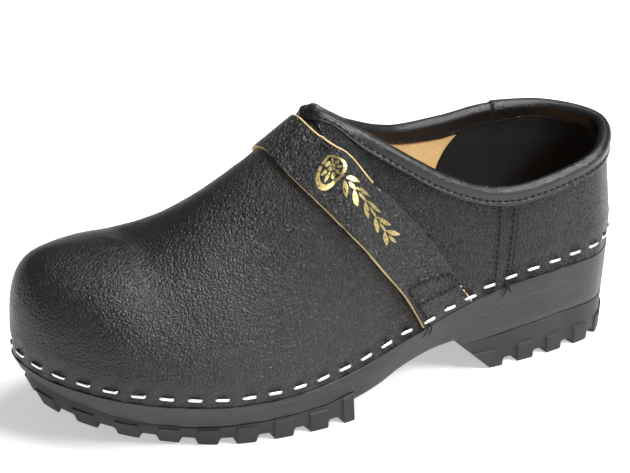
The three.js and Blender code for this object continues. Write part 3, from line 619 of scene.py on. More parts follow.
def looking_out(piece):
    centres, _ = faces_of(piece)
    return turn_out(piece, centres - np.array([0, -3, 45.0]))


def lap_edge(v):
    """Station of the vamp's rear edge: it leans forward to the sole, close behind its stitches."""
    return mix(9.02, 9.26, v)


V_ROWS = np.concatenate([np.linspace(0, 0.2, 26)[:-1], np.linspace(0.2, 1, 62)])[None, :]
wing = np.linspace(0, 1, 92)[1:, None]
wing_u = PEAK + wing * (lap_edge(V_ROWS) - PEAK)
front_u = np.linspace(-PEAK, PEAK, 252)[:, None] + 0 * V_ROWS
vamp = leather("vamp_leather", np.concatenate([-wing_u[::-1], front_u, wing_u]), V_ROWS)
edit(vamp, merge)
looking_out(vamp)
thicken(vamp, LEATHER)
soften(vamp, 0.35)
complete(vamp, UPPER, ["vamp"], 55)

behind = lap_edge(V_ROWS) + LAP_EDGE
quarter = leather("quarter_leather", mix(behind, STATIONS - behind, np.linspace(0, 1, 250)[:, None]), V_ROWS)
looking_out(quarter)
thicken(quarter, LEATHER)
soften(quarter, 0.35)
complete(quarter, UPPER, ["quarter"], 55)


def inner_layer(name, us, v0, v1, depth, thick, finish, node, count=40, unevenness=0.08):
    """A layer inside the leather, from height share v0(u) to v1(u), at its depth below it."""
    share = np.linspace(0, 1, count)[None, :]
    low = v0(us)[:, None] if callable(v0) else v0
    high = v1(us)[:, None] if callable(v1) else v1
    v = low + (high - low) * share
    u = us[:, None] + 0 * v
    d = depth(u, v) if callable(depth) else depth
    p = surface(u, v, d)
    piece = laid_grid(name, surface(u, v, d + unevenness * waves(p, 17, 6)))
    edit(piece, merge)
    looking_out(piece)
    thicken(piece, thick)
    return complete(piece, finish, [node], 55)


def stiffened(u, v):
    toe = 1 - smooth(2.6, 3.6, fold(u))
    heel = smooth(9.1, 9.8, fold(u))
    return toe + heel * (1 - smooth(0.67, 0.85, v))


def lining_depth(u, v):
    return LEATHER + GAP + (STIFFENER + GAP) * stiffened(u, v)


def lining_foot(u):
    return (v_at_height(u, wall_height(u)) + 0.3) / 2


inner_layer(
    "vamp_lining_leather", np.linspace(-LINING_SEAM, LINING_SEAM, 220), lining_foot, 1.0, lining_depth, LINING,
    LINING_HIDE, "vamp_lining", 48,
)
inner_layer(
    "quarter_lining_leather", np.linspace(LINING_SEAM + 0.011, STATIONS - LINING_SEAM - 0.011, 260), lining_foot, 1.0,
    lining_depth, LINING, LINING_HIDE, "quarter_lining", 48,
)
inner_layer(
    "toe_puff_board", np.linspace(-2.4, 2.4, 90), lining_foot, 0.767, LEATHER + GAP, STIFFENER, BOARD, "toe_puff",
    30, 0,
)
inner_layer(
    "heel_stiffener_board", np.linspace(10, 14, 80), lining_foot, 0.65, LEATHER + GAP, STIFFENER, BOARD,
    "heel_stiffener", 30, 0,
)


# The suede grip lines the heel; its front edges are cut round, further forward at the foot
def grip_sheet():
    share = np.linspace(0, 1, 40)[None, :]
    front = 8.95 + 0.62 * share**4
    w = np.linspace(-1, 1, 150)[:, None]
    u = HALF + w * (HALF - front)
    low = lining_foot(u[:, 0])[:, None]
    v = low + (0.94 - low) * share
    depth = lining_depth(u, v) + LINING + GAP
    piece = laid_grid("heel_grip_suede", surface(u, v + 0 * u, depth))
    looking_out(piece)
    thicken(piece, GRIP)
    return complete(piece, SUEDE, ["heel_grip"], 55)


grip_sheet()

# Dark seam of the lining on each side of the opening
for side, label in ((1, "outer"), (-1, "inner")):
    v = np.linspace(0.3, 0.95, 40)[None, :]
    u = side * (8.03 + 0.035 * np.linspace(-1, 1, 5)[:, None])
    seam = laid_grid(f"lining_seam_{label}", surface(u, v, lining_depth(u, v) + LINING + 0.1))
    looking_out(seam)
    thicken(seam, 0.5)
    complete(seam, SEAM_BROWN)

# ---- Instep strap ---------------------------------------------------------------------------
STRAP_FRONT = [[31, 122], [31, 109], [26, 99], [16, 87], [-4, 62], [-14, 49], [-24, 31], [-36, 10]]
STRAP_REAR = [[14.5, 134], [14.5, 119], [3, 108], [-8, 97], [-23, 78], [-34, 63.5], [-44, 46], [-62, 20]]


def edge_line(points):
    k = np.linspace(0, len(points) - 1, 300)
    line = along(points, k, False)
    return line[::-1, 0], line[::-1, 1]


def strap_station(side, share, edge, lift):
    """Station at which the strap's edge crosses a height share, on the outer or inner side."""
    u = np.linspace(3.5, 9.0, 500)
    v = mix(v_at_height(side * u, 1.2), 1.0, share)
    p = surface(side * u, v, -lift)
    xs, zs = edge_line(edge)
    beyond = p[:, 0] - np.interp(p[:, 2], zs, xs)
    k = int(np.argmax(beyond < 0))
    t = beyond[k - 1] / (beyond[k - 1] - beyond[k])
    return u[k - 1] + t * (u[k] - u[k - 1])


STRAP_TOP = GAP + STRAP_THICKNESS
EDGE_MARKS = np.linspace(0, 1, 101)


def strap_edge(side, edge):
    """Station and height share along one edge of the strap, evenly from its lower end to the crest."""
    u = np.array([strap_station(side, s, edge, STRAP_TOP) for s in EDGE_MARKS])
    v = mix(v_at_height(side * u, 1.2), 1.0, EDGE_MARKS)
    at = even(surface(side * u, v), count=100)
    return np.interp(at, np.arange(101), u), np.interp(at, np.arange(101), EDGE_MARKS)


strap_edges = {side: (strap_edge(side, STRAP_FRONT), strap_edge(side, STRAP_REAR)) for side in (1, -1)}


def on_strap(side, t, across, lift=0.0):
    """Point on the strap: t from its lower end to the crest, across from front to rear edge."""
    (front_u, front_s), (rear_u, rear_s) = strap_edges[side]
    u = side * mix(np.interp(t, EDGE_MARKS, front_u), np.interp(t, EDGE_MARKS, rear_u), across)
    share = mix(np.interp(t, EDGE_MARKS, front_s), np.interp(t, EDGE_MARKS, rear_s), across)
    v = mix(v_at_height(u, 1.2), 1.0, share)
    return surface(u, v, -(STRAP_TOP + lift))


def strap_sheet():
    # the rear edge is cut on a slant
    across = np.append(np.linspace(0, 0.965, 29), 1.0)[None, :]
    up = np.linspace(0, 1, 110)[:, None]
    wave = lambda p: 0.10 * waves(p, 21, 12) + 0.05 * waves(p, 7, 13)
    sides = []
    for side in (1, -1):
        share, over = np.broadcast_arrays(up, across)
        p = on_strap(side, share, over)
        hand_cut = 0.014 * waves(p, 16, 21) * (1 - over) ** 6 + 0.010 * waves(p, 12, 22) * over**6
        lift = wave(p) - 0.15 * (2 * over - 1) ** 6 - 1.0 * (over > 0.98)
        sides.append(on_strap(side, share, over + hand_cut, lift))
    points = np.concatenate([sides[0], sides[1][::-1][1:]])
    piece = laid_grid("instep_strap_leather", points)
    looking_out(piece)
    take(piece)
    piece.data.materials.append(STRAP_HIDE)
    piece.data.materials.append(CUT_EDGE)
    piece.data.materials.append(DYED_EDGE)
    slanted = (np.arange(len(piece.data.polygons)) % 29 == 28).astype(np.int32)
    piece.data.polygons.foreach_set("material_index", slanted)
    thicken(piece, STRAP_THICKNESS, rim=1)
    soften(piece, 0.16, 50, 1)
    # The rear edge has taken dye further down, only its top and its foot stay raw
    centres, _ = faces_of(piece)
    index = np.zeros(len(piece.data.polygons), np.int32)
    piece.data.polygons.foreach_get("material_index", index)
    xs, zs = edge_line(STRAP_REAR)
    x_rear = np.interp(centres[:, 2], zs, xs)
    low = (np.abs(centres[:, 0] - x_rear) < 2.5) & (centres[:, 2] < 95) & (centres[:, 2] > 45)
    index[(index == 1) & low] = 2
    finishes = [STRAP_HIDE, CUT_EDGE, DYED_EDGE]
    complete(piece, finishes, ["instep_strap"], 50)
    piece.data.polygons.foreach_set("material_index", index)
    return piece


strap = strap_sheet()


# ---- Collar binding -------------------------------------------------------------------------
ROLL_R, ROLL_INNER, ROLL_RISE = 3.1, 2.2, 1.9
MIDDLE = -STACK / 2


def collar_frame(u):
    near = 1 - smooth(0, 0.8, fold(u) - PEAK)
    slope = top_edge(np.array(6.0)) - top_edge(np.array(5.8))
    crest = unit(np.array([-slope[2], 0, slope[0]]))
    crest = crest * np.sign(crest[2])
    n = unit(mix(normal_at(u, 0.97 + 0 * u), crest, near[..., None]))
    ahead = top_edge(np.minimum(u + 0.01, 18.0)) - top_edge(np.maximum(u - 0.01, 6.0))
    tangent = unit(ahead)
    tangent = np.where((fold(u) < PEAK + 1e-3)[..., None], np.array([0, 1.0, 0]), tangent)
    off = unit(np.cross(n, tangent))
    return top_edge(u), unit(np.cross(tangent, off)), off


def collar_point(u, out, off):
    """Point beside the collar's cut edge: out from the leather's face, off beyond its edge. Below
    the edge it follows the leather."""
    u, out, off = np.broadcast_arrays(*(np.asarray(a, float) for a in (u, out, off)))
    point, normal, away = collar_frame(u)
    direct = point + normal * out[..., None] + away * off[..., None]
    reach = np.linalg.norm(surface(u, 1.0 + 0 * u) - surface(u, 0.95 + 0 * u), axis=-1) / 0.05
    v = np.clip(1 + off / np.maximum(reach, 20), 0, 1)
    hugging = surface(u, v, -out)
    weight = smooth(0.5, 1.6, fold(u) - PEAK) * smooth(0.3, 1.6, -off)
    return mix(direct, hugging, weight[..., None])


collar_ring = np.linspace(6, 18, 3001)
collar_at = even(top_edge(collar_ring), count=430)
collar_u = np.interp(collar_at, np.arange(3001), collar_ring)
collar_mm = np.concatenate([[0], np.cumsum(np.linalg.norm(np.diff(top_edge(collar_u), axis=0), axis=1))])


def arc(radius, a0, a1, count):
    a = np.radians(np.linspace(a0, a1, count))
    return [[MIDDLE + radius * math.cos(x), ROLL_RISE + radius * math.sin(x)] for x in a]


BINDING_STEP = 243.0  # millimetres along the collar to the overlap of the binding's ends


def binding_section(leg):
    outer = [
        [0.55, -3.0], [0.62, -3.25], [0.95, -3.3], [1.2, -3.1], [1.25, -2.7], [1.15, -2.1],
        [0.92, -1.6], [0.78, -1.25], [0.82, -0.9], [1.02, -0.45], [1.18, 0.1],
    ]
    inner = [
        [-4.5, 0.1], [-4.4, -0.5], [-4.36, -1.0], [-4.36, -0.45 * leg], [-4.3, -0.60 * leg], [-4.2, -0.68 * leg],
        [-4.3, -0.76 * leg], [-4.45, -0.88 * leg], [-4.4, -leg + 0.1], [-4.1, -leg], [-3.85, -leg + 0.15],
        [-3.85, -0.3 * leg],
    ]
    return np.array(outer + arc(ROLL_R, -15, 195, 17) + inner + arc(ROLL_INNER, 180, 0, 7) + [[0.55, 0.0]])


def inner_leg(u):
    """Length of the binding's inner side below the leather's edge."""
    return 1.6 + 3.2 * smooth(7.1, 9.2, fold(u)) * (1 - 0.6 * smooth(9.6, 10.6, fold(u)))


def binding_sheet():
    n = len(collar_u)
    leg = inner_leg(collar_u)
    rows = []
    slim = 1 - smooth(0.1, 1.6, fold(collar_u) - PEAK)
    bow = np.linalg.norm(np.gradient(unit(np.gradient(top_edge(collar_u), axis=0)), axis=0), axis=1)
    tight = smooth(0.03, 0.1, bow)
    gathers = np.sin(collar_mm * 2.3 + 1.5 * np.sin(collar_mm * 0.7))
    ripple = 0.10 * tight * gathers + 0.10 * waves(top_edge(collar_u), 16, 5)
    behind_step = BINDING_STEP - collar_mm
    step = np.where(behind_step > 0, np.exp(-behind_step / 26.0), 0.0) * smooth(0, 0.9, behind_step)
    for k in range(n):
        section = binding_section(leg[k])
        away = section - np.array([MIDDLE, ROLL_RISE])
        size = np.linalg.norm(away, axis=1, keepdims=True)
        outside = smooth(2.3, 3.0, size[:, 0])[:, None]
        grown = section + away / size * outside * (ripple[k] + 0.75 * step[k] - 0.55 * slim[k])
        rows.append(grown)
    section = np.array(rows)
    points = collar_point(collar_u[:, None], section[..., 0], section[..., 1])
    points = np.concatenate([points, points[:, :1]], axis=1)
    piece = laid_grid("collar_binding_leather", points)
    edit(piece, merge, face_out)
    return complete(piece, BINDING, ["collar_binding"], 60)


binding = binding_sheet()


def cord_sheet():
    a = np.radians(np.linspace(0, 360, 13))
    strand = np.linspace(0, 2 * math.pi * collar_mm[-1] / 6, len(collar_u))[:, None]
    radius = 1.42 + 0.08 * np.cos(3 * (a[None, :] + strand))
    out, off = MIDDLE + radius * np.cos(a), ROLL_RISE + radius * np.sin(a)
    piece = laid_grid("collar_cord_cotton", collar_point(collar_u[:, None], out, off))
    edit(piece, merge, face_out)
    return complete(piece, COTTON, ["collar_cord"], 60)


cord_sheet()


# ---- Stitches -------------------------------------------------------------------------------
def thread_bead():
    """One stitch, one millimetre long, to be stretched along its row."""
    leave_all()
    bpy.ops.mesh.primitive_uv_sphere_add(segments=8, ring_count=6, radius=0.5 * MM)
    piece = bpy.context.object
    edit(piece, lambda: bpy.ops.transform.resize(value=(1.0, 1.0, 0.9)))
    return piece


bead = thread_bead()


def stitch_row(name, path, normals, pitch, length, wide=0.62, high=0.5):
    """Stitches along a path of points with the leather's normals."""
    k = even(path, step=pitch)
    number = np.arange(len(path))
    pick = lambda values: np.stack([np.interp(k, number, values[:, c]) for c in range(3)], -1)
    at, out = pick(path), unit(pick(normals))
    centre = (at[:-1] + at[1:]) / 2
    way = unit(at[1:] - at[:-1])
    up = unit(out[:-1] + out[1:])
    matrices = []
    for c, x, z in zip(centre, way, up):
        y = unit(np.cross(z, x))
        z = np.cross(x, y)
        matrices.append(placing(c, x * length, y * wide, z * high))
    return complete(joined(copies(bead, matrices, name), name), THREAD, (), 80)


def seam_path(u0, v0, u1, v1, depth, count=60):
    t = np.linspace(0, 1, count)
    u, v = mix(u0, u1, t), mix(v0, v1, t)
    p = surface(u, v)
    return surface(u, v, relief(u, v, p) - depth), normal_at(u, v)


outside_row = collar_point(collar_u, 0.86, -1.22)
stitch_row("collar_stitches_outside", outside_row, collar_frame(collar_u)[1], 3.3, 2.5, 1.2, 0.8)
inside_row = collar_point(collar_u, -4.25, -0.68 * inner_leg(collar_u))
keep = fold(collar_u) > 7.6
stitch_row("collar_stitches_inside", inside_row[keep], -collar_frame(collar_u)[1][keep], 3.0, 2.2, 0.8, 0.5)

for side, label in ((1, "outer"), (-1, "inner")):
    path, normals = seam_path(side * 8.95, 0.955, side * 8.775, 0.13, 0.05)
    stitch_row(f"side_seam_front_{label}", path, normals, 2.5, 1.9, 1.1, 0.9)
    path, normals = seam_path(side * 9.2, 0.955, side * 8.975, 0.07, 0.05)
    stitch_row(f"side_seam_rear_{label}", path, normals, 2.5, 1.9, 1.1, 0.9)


def strap_spot(side, x, z):
    """Share and across of the strap's point at x and z in side view."""
    share = np.linspace(0, 0.7, 71)[:, None]
    over = np.linspace(0, 1, 41)[None, :]
    s, o = np.broadcast_arrays(share, over)
    p = on_strap(side, s, o)
    d = np.hypot(p[..., 0] - x, p[..., 2] - z)
    i, j = np.unravel_index(np.argmin(d), d.shape)
    return s[i, j], o[i, j]


def strap_path(side, points, lift=0.1):
    spots = np.array([strap_spot(side, x, z) for x, z in points])
    k = np.linspace(0, len(spots) - 1, 40 * (len(spots) - 1) + 1)
    s = np.interp(k, np.arange(len(spots)), spots[:, 0])
    o = np.interp(k, np.arange(len(spots)), spots[:, 1])
    p = on_strap(side, s, o, lift)
    ds = on_strap(side, s + 0.01, o, lift) - p
    do = on_strap(side, s, o + 0.02, lift) - p
    n = unit(np.cross(ds, do))
    n = n * np.sign(np.sum(n * np.array([0, side, 0.2]), axis=-1, keepdims=True))
    return p, n


for name, points in (
    ("strap_stitch_top", [[-17, 49], [-40, 51]]),
    ("strap_stitch_rear", [[-40, 51], [-48, 40]]),
    ("strap_stitch_front", [[-17, 49], [-27, 32]]),
    ("strap_stitch_middle", [[-21, 41], [-43, 44.5]]),
):
    path, normals = strap_path(1, points)
    stitch_row(name, path, normals, 2.5, 1.9, 1.1, 0.9)

# ---- Stamped ornament on the strap: a rosette and a row of leaves ---------------------------
ORNAMENT_TOP, ORNAMENT_TOP_ACROSS = 0.70, 0.38
ORNAMENT_DRIFT = 0.10 / 38  # the row drifts to the middle of the strap as it goes down
marks = np.linspace(0, 1, 80)
strap_length = float(np.sum(np.linalg.norm(np.diff(on_strap(1, marks, 0.5), axis=0), axis=1)))


def stamped(name, a, c):
    """A flat foil shape: a down the strap and c across it, in millimetres from the rosette."""
    t = ORNAMENT_TOP - a / strap_length
    wide = np.linalg.norm(on_strap(1, t, 0.0) - on_strap(1, t, 1.0), axis=-1)
    across = ORNAMENT_TOP_ACROSS + ORNAMENT_DRIFT * a + c / wide
    piece = laid_grid(name, on_strap(1, t, across, 0.12))
    turn_out(piece, np.array([0, 1.0, 0.4]))
    return piece


def leaf(a0, c0, degrees, length, width):
    s = np.linspace(0, 1, 18)[:, None]
    w = np.linspace(-1, 1, 5)[None, :]
    x = (s - 0.5) * length + 0 * w
    y = w * width / 2 * np.sin(math.pi * np.clip(s, 0.03, 0.97)) ** 0.7
    ca, sa = math.cos(math.radians(degrees)), math.sin(math.radians(degrees))
    return stamped("foil_leaf", a0 + x * ca - y * sa, c0 + x * sa + y * ca)


def hoop(a0, c0, radius, width):
    t = np.linspace(0, 2 * math.pi, 49)[:, None]
    r = radius + np.linspace(-0.5, 0.5, 3)[None, :] * width
    return stamped("foil_hoop", a0 + r * np.cos(t), c0 + r * np.sin(t))


foil = [hoop(0, 0, 6.0, 1.5), hoop(0, 0, 1.0, 1.2)]
for k in range(8):
    turn = k * 45
    foil.append(leaf(3.3 * math.cos(math.radians(turn)), 3.3 * math.sin(math.radians(turn)), turn, 2.9, 1.7))
for k in range(5):
    down = 11.0 + 6.3 * k
    foil.append(leaf(down, 2.6, 38, 6.2, 2.6))
    foil.append(leaf(down, -2.6, -38, 6.2, 2.6))
    foil.append(leaf(down + 2.0, 0, 0, 4.6, 1.7))
for piece in foil:
    edit(piece, merge)
    thicken(piece, 0.08)
ornament = complete(joined(foil, "strap_foil_ornament"), GOLD, (), 60)


# ---- Raw edge, loose thread ends and torn fibres --------------------------------------------
def fibre(name, path, radius, finish):
    """A thin tube along a path, pointed at its far end."""
    k = np.linspace(0, len(path) - 1, 6 * len(path))
    line = along(path, k, False)
    way = unit(np.gradient(line, axis=0))
    side = unit(np.cross(way, np.array([0.2, 1.0, 0.1])))
    rise = np.cross(side, way)
    a = np.radians(np.linspace(0, 360, 8))[None, :, None]
    size = (radius * (1 - 0.85 * np.linspace(0, 1, len(k)) ** 3))[:, None, None]
    points = line[:, None] + size * (np.cos(a) * side[:, None] + np.sin(a) * rise[:, None])
    piece = laid_grid(name, points)
    span(piece, np.arange(8))
    span(piece, len(k) * 8 - 8 + np.arange(8))
    edit(piece, merge, face_out)
    return complete(piece, finish, (), 80)


# A bead of raw leather along the top of the strap's rear edge, from side to side over the crest
rising = np.linspace(0.62, 1, 30)
raw_line = np.concatenate([on_strap(1, rising, 0.985, -0.3), on_strap(-1, rising[::-1][1:], 0.985, -0.3)])
fibre("strap_raw_rear_edge", raw_line, 0.42, CUT_EDGE)


def beside(u, height, out):
    """Point beside the foot of the leather, at a height over the feather line."""
    p = feather(np.array(u, float)) + outward(np.array(u, float)) * out
    return p + UP * height


# Each end: name, thickness, then station, height and distance out of its points
THREAD_ENDS = [
    ["seam_thread_end_a", 0.38, (8.93, 2.4, 0.5), (8.96, 0.5, 1.3), (8.92, -1.8, 1.5), (8.86, -4.0, 1.1)],
    ["seam_thread_end_b", 0.34, (8.93, 2.0, 0.6), (8.99, 0.0, 1.5), (9.02, -2.2, 1.4), (9.1, -3.4, 1.2)],
    ["strap_thread_end_a", 0.34, (7.42, 3.5, 2.4), (7.46, 0.4, 3.0), (7.44, -2.4, 2.2), (7.50, -4.6, 1.5)],
    ["strap_thread_end_b", 0.3, (7.42, 3.0, 2.4), (7.38, 0.2, 2.8), (7.34, -1.8, 2.0), (7.36, -3.4, 1.4)],
]
for name, radius, *spots in THREAD_ENDS:
    fibre(name, [beside(*spot) for spot in spots], radius, THREAD)
ragged = np.random.RandomState(11)
for k in range(14):
    u = 8.6 + 0.17 * k + ragged.uniform(-0.05, 0.05)
    h = ragged.uniform(0.2, 1.6)
    bend = beside(u + ragged.uniform(-0.04, 0.08), h - 0.6, 0.75)
    tip = beside(u + ragged.uniform(0.02, 0.12), h - ragged.uniform(0.6, 1.6), 0.9)
    path = [beside(u, h, 0.15), bend, tip]
    fibre(f"torn_fibre_{k + 1:02d}", path, ragged.uniform(0.14, 0.26), DYED_EDGE)


# ---- Wooden sole ----------------------------------------------------------------------------
FEATHER_LIP = 0.6
TREAD_BACK, BREAST_FOOT = 14, -62
FORE_TREAD = 9.5
SPRING_START, TOE_TIP, TOE_SPRING = 76, 138, 17
SHANK = [[-44, 18], [-29, 17.4], [-14, 14.6], [-2, 11.2], [14, 8.8]]


def ground(x):
    return TOE_SPRING * (np.maximum(x - SPRING_START, 0) / (TOE_TIP - SPRING_START)) ** 2


def breast_at(z):
    return BREAST_FOOT + z


def wood_under(x):
    """Height of the wood's underside."""
    shank = along(SHANK, np.linspace(0, 4, 60), False)
    xs = np.concatenate([[-170, -98, -48], shank[:, 0], [14.02, 28, 50, 60]])
    zs = np.concatenate([[18.5, 18.5, 14], shank[:, 1], [12.5, 10.3, 9.5, 9.5]])
    return np.where(x > 60, ground(x) + FORE_TREAD, np.interp(x, xs, zs))


def ledge(u, out):
    p = feather(u) + outward(u) * np.asarray(out)[..., None]
    p[..., 2] -= GAP
    return p


def sole_foot(u, grow=0.0, z=-1.0):
    inset = along([[a] for a in SOLE_INSET], u, True)[..., 0]
    p = feather(u) + outward(u) * (grow - inset)[..., None]
    p[..., 2] = z
    return p


def wall_at(u, z, grow=0.0):
    """Point of the sole's side wall at a height."""
    top, foot = ledge(u, FEATHER_LIP + 0 * u), sole_foot(u)
    t = (top[..., 2] - z) / (top[..., 2] - foot[..., 2])
    return mix(top, foot, t[..., None]) + outward(u) * np.asarray(grow + 0 * u)[..., None]


def wall_end(u):
    """Height at which the side wall meets the wood's underside."""
    low, high = np.zeros_like(u) - 0.5, feather(u)[..., 2] - GAP - 0.5
    for _ in range(26):
        mid = (low + high) / 2
        above = mid > wood_under(wall_at(u, mid)[..., 0])
        low, high = np.where(above, low, mid), np.where(above, mid, high)
    return high


def sole_piece():
    dense = np.linspace(0, 24, 4801)
    x = wall_at(dense, wall_end(dense))[:, 0]
    x_out, x_in = x[: 2401], x[2400:][::-1]
    lateral = np.minimum.accumulate(x_out)
    medial = np.minimum.accumulate(x_in)
    top, end = min(lateral[0], medial[0]), max(lateral[-1], medial[-1])
    share = 0.5 - 0.5 * np.cos(np.linspace(0, math.pi, 190))
    xs = mix(top, end, share)
    marks = []
    for mark in (14.01, -44, -48):
        marks += [mark - 0.5, mark - 0.05, mark + 0.05, mark + 0.5]
    xs = np.unique(np.round(np.concatenate([xs, marks]), 3))[::-1]
    pick = lambda table, us: np.interp(-xs, -table, us)
    u_out = pick(lateral, dense[:2401])
    u_in = pick(medial, dense[2400:][::-1])
    u_out[0], u_in[0], u_out[-1], u_in[-1] = 0, 24, 12, 12

    def column(u, other):
        z_end = wall_end(u)
        base = wall_at(u, z_end)
        base_other = wall_at(other, wall_end(other))
        centre = (base + base_other) / 2
        rows = []
        for s in (0.0, 0.3, 0.6, 0.82, 0.94):
            p = mix(centre, base, s)
            p[:, 2] = wood_under(p[:, 0])
            rows.append(p)
        inward = unit(centre - base + 1e-9) * np.minimum(np.linalg.norm(centre - base, axis=1, keepdims=True), 1.0)
        round_off = base + inward * 0.55
        round_off[:, 2] = wood_under(round_off[:, 0])
        rows.append(round_off)
        halfway = mix(round_off, wall_at(u, z_end + 0.7), 0.5)
        rows.append(halfway + (base - halfway) * 0.45)
        top_z = feather(u)[:, 2] - GAP
        for s in (0.05, 0.15, 0.3, 0.45, 0.6, 0.75, 0.88, 0.96):
            z = mix(z_end, top_z, s)
            swell = 0.12 * waves(wall_at(u, z), 40, 8)
            rows.append(wall_at(u, z, swell * math.sin(math.pi * s)))
        rows.append(ledge(u, FEATHER_LIP - 0.05 + 0 * u))
        rows.append(ledge(u, FEATHER_LIP - 0.35 + 0 * u) + [0, 0, 0.18])
        foot = surface(u, 0 * u, LEATHER + GAP)
        foot[:, 2] -= GAP - 0.05
        rows.append(foot)
        for h in (0.3, 0.7, 1.0):
            rows.append(surface(u, v_at_height(u, wall_height(u) * h), LEATHER + GAP + 0.05))
        edge = surface(u, v_at_height(u, wall_height(u) + 2.5), 8.0)
        edge_other = surface(other, v_at_height(other, wall_height(other) + 2.5), 8.0)
        mid = (edge + edge_other) / 2
        half = np.linalg.norm((edge - edge_other)[:, :2], axis=1) / 2
        dish = 4.0 * smooth(0, 22, half)
        for s in (1.0, 0.93, 0.82, 0.65, 0.45, 0.22, 0.0):
            p = mix(mid, edge, s)
            p[:, 2] -= dish * (1 - s * s)
            rows.append(p)
        return np.stack(rows, 1)

    out, inn = column(u_out, u_in), column(u_in, u_out)
    points = np.concatenate([out, inn[:, ::-1]], axis=1)
    points = np.concatenate([points, points[:, :1]], axis=1)
    piece = laid_grid("sole_alder", points)
    # The top of the wood is left natural inside the upper
    around = points.shape[1] - 1
    bed = out.shape[1] - 7
    natural = np.zeros((len(points) - 1, around), np.int32)
    natural[:, bed : around - bed - 1] = 1
    piece.data.polygons.foreach_set("material_index", natural.ravel())
    edit(piece, merge, face_out)
    index = np.zeros(len(piece.data.polygons), np.int32)
    piece.data.polygons.foreach_get("material_index", index)
    complete(piece, [LACQUER, FOOTBED], ["wooden_sole"], 50)
    piece.data.polygons.foreach_set("material_index", index)
    return piece


sole_piece()

# ---- Rubber treads --------------------------------------------------------------------------
LUG_PITCH = 16
NOTCH_TOP = 3.0
NOTCH_DEPTH = 15.0
BLOCK_PROUD = 1.0
BLOCK_TOP = 8.2


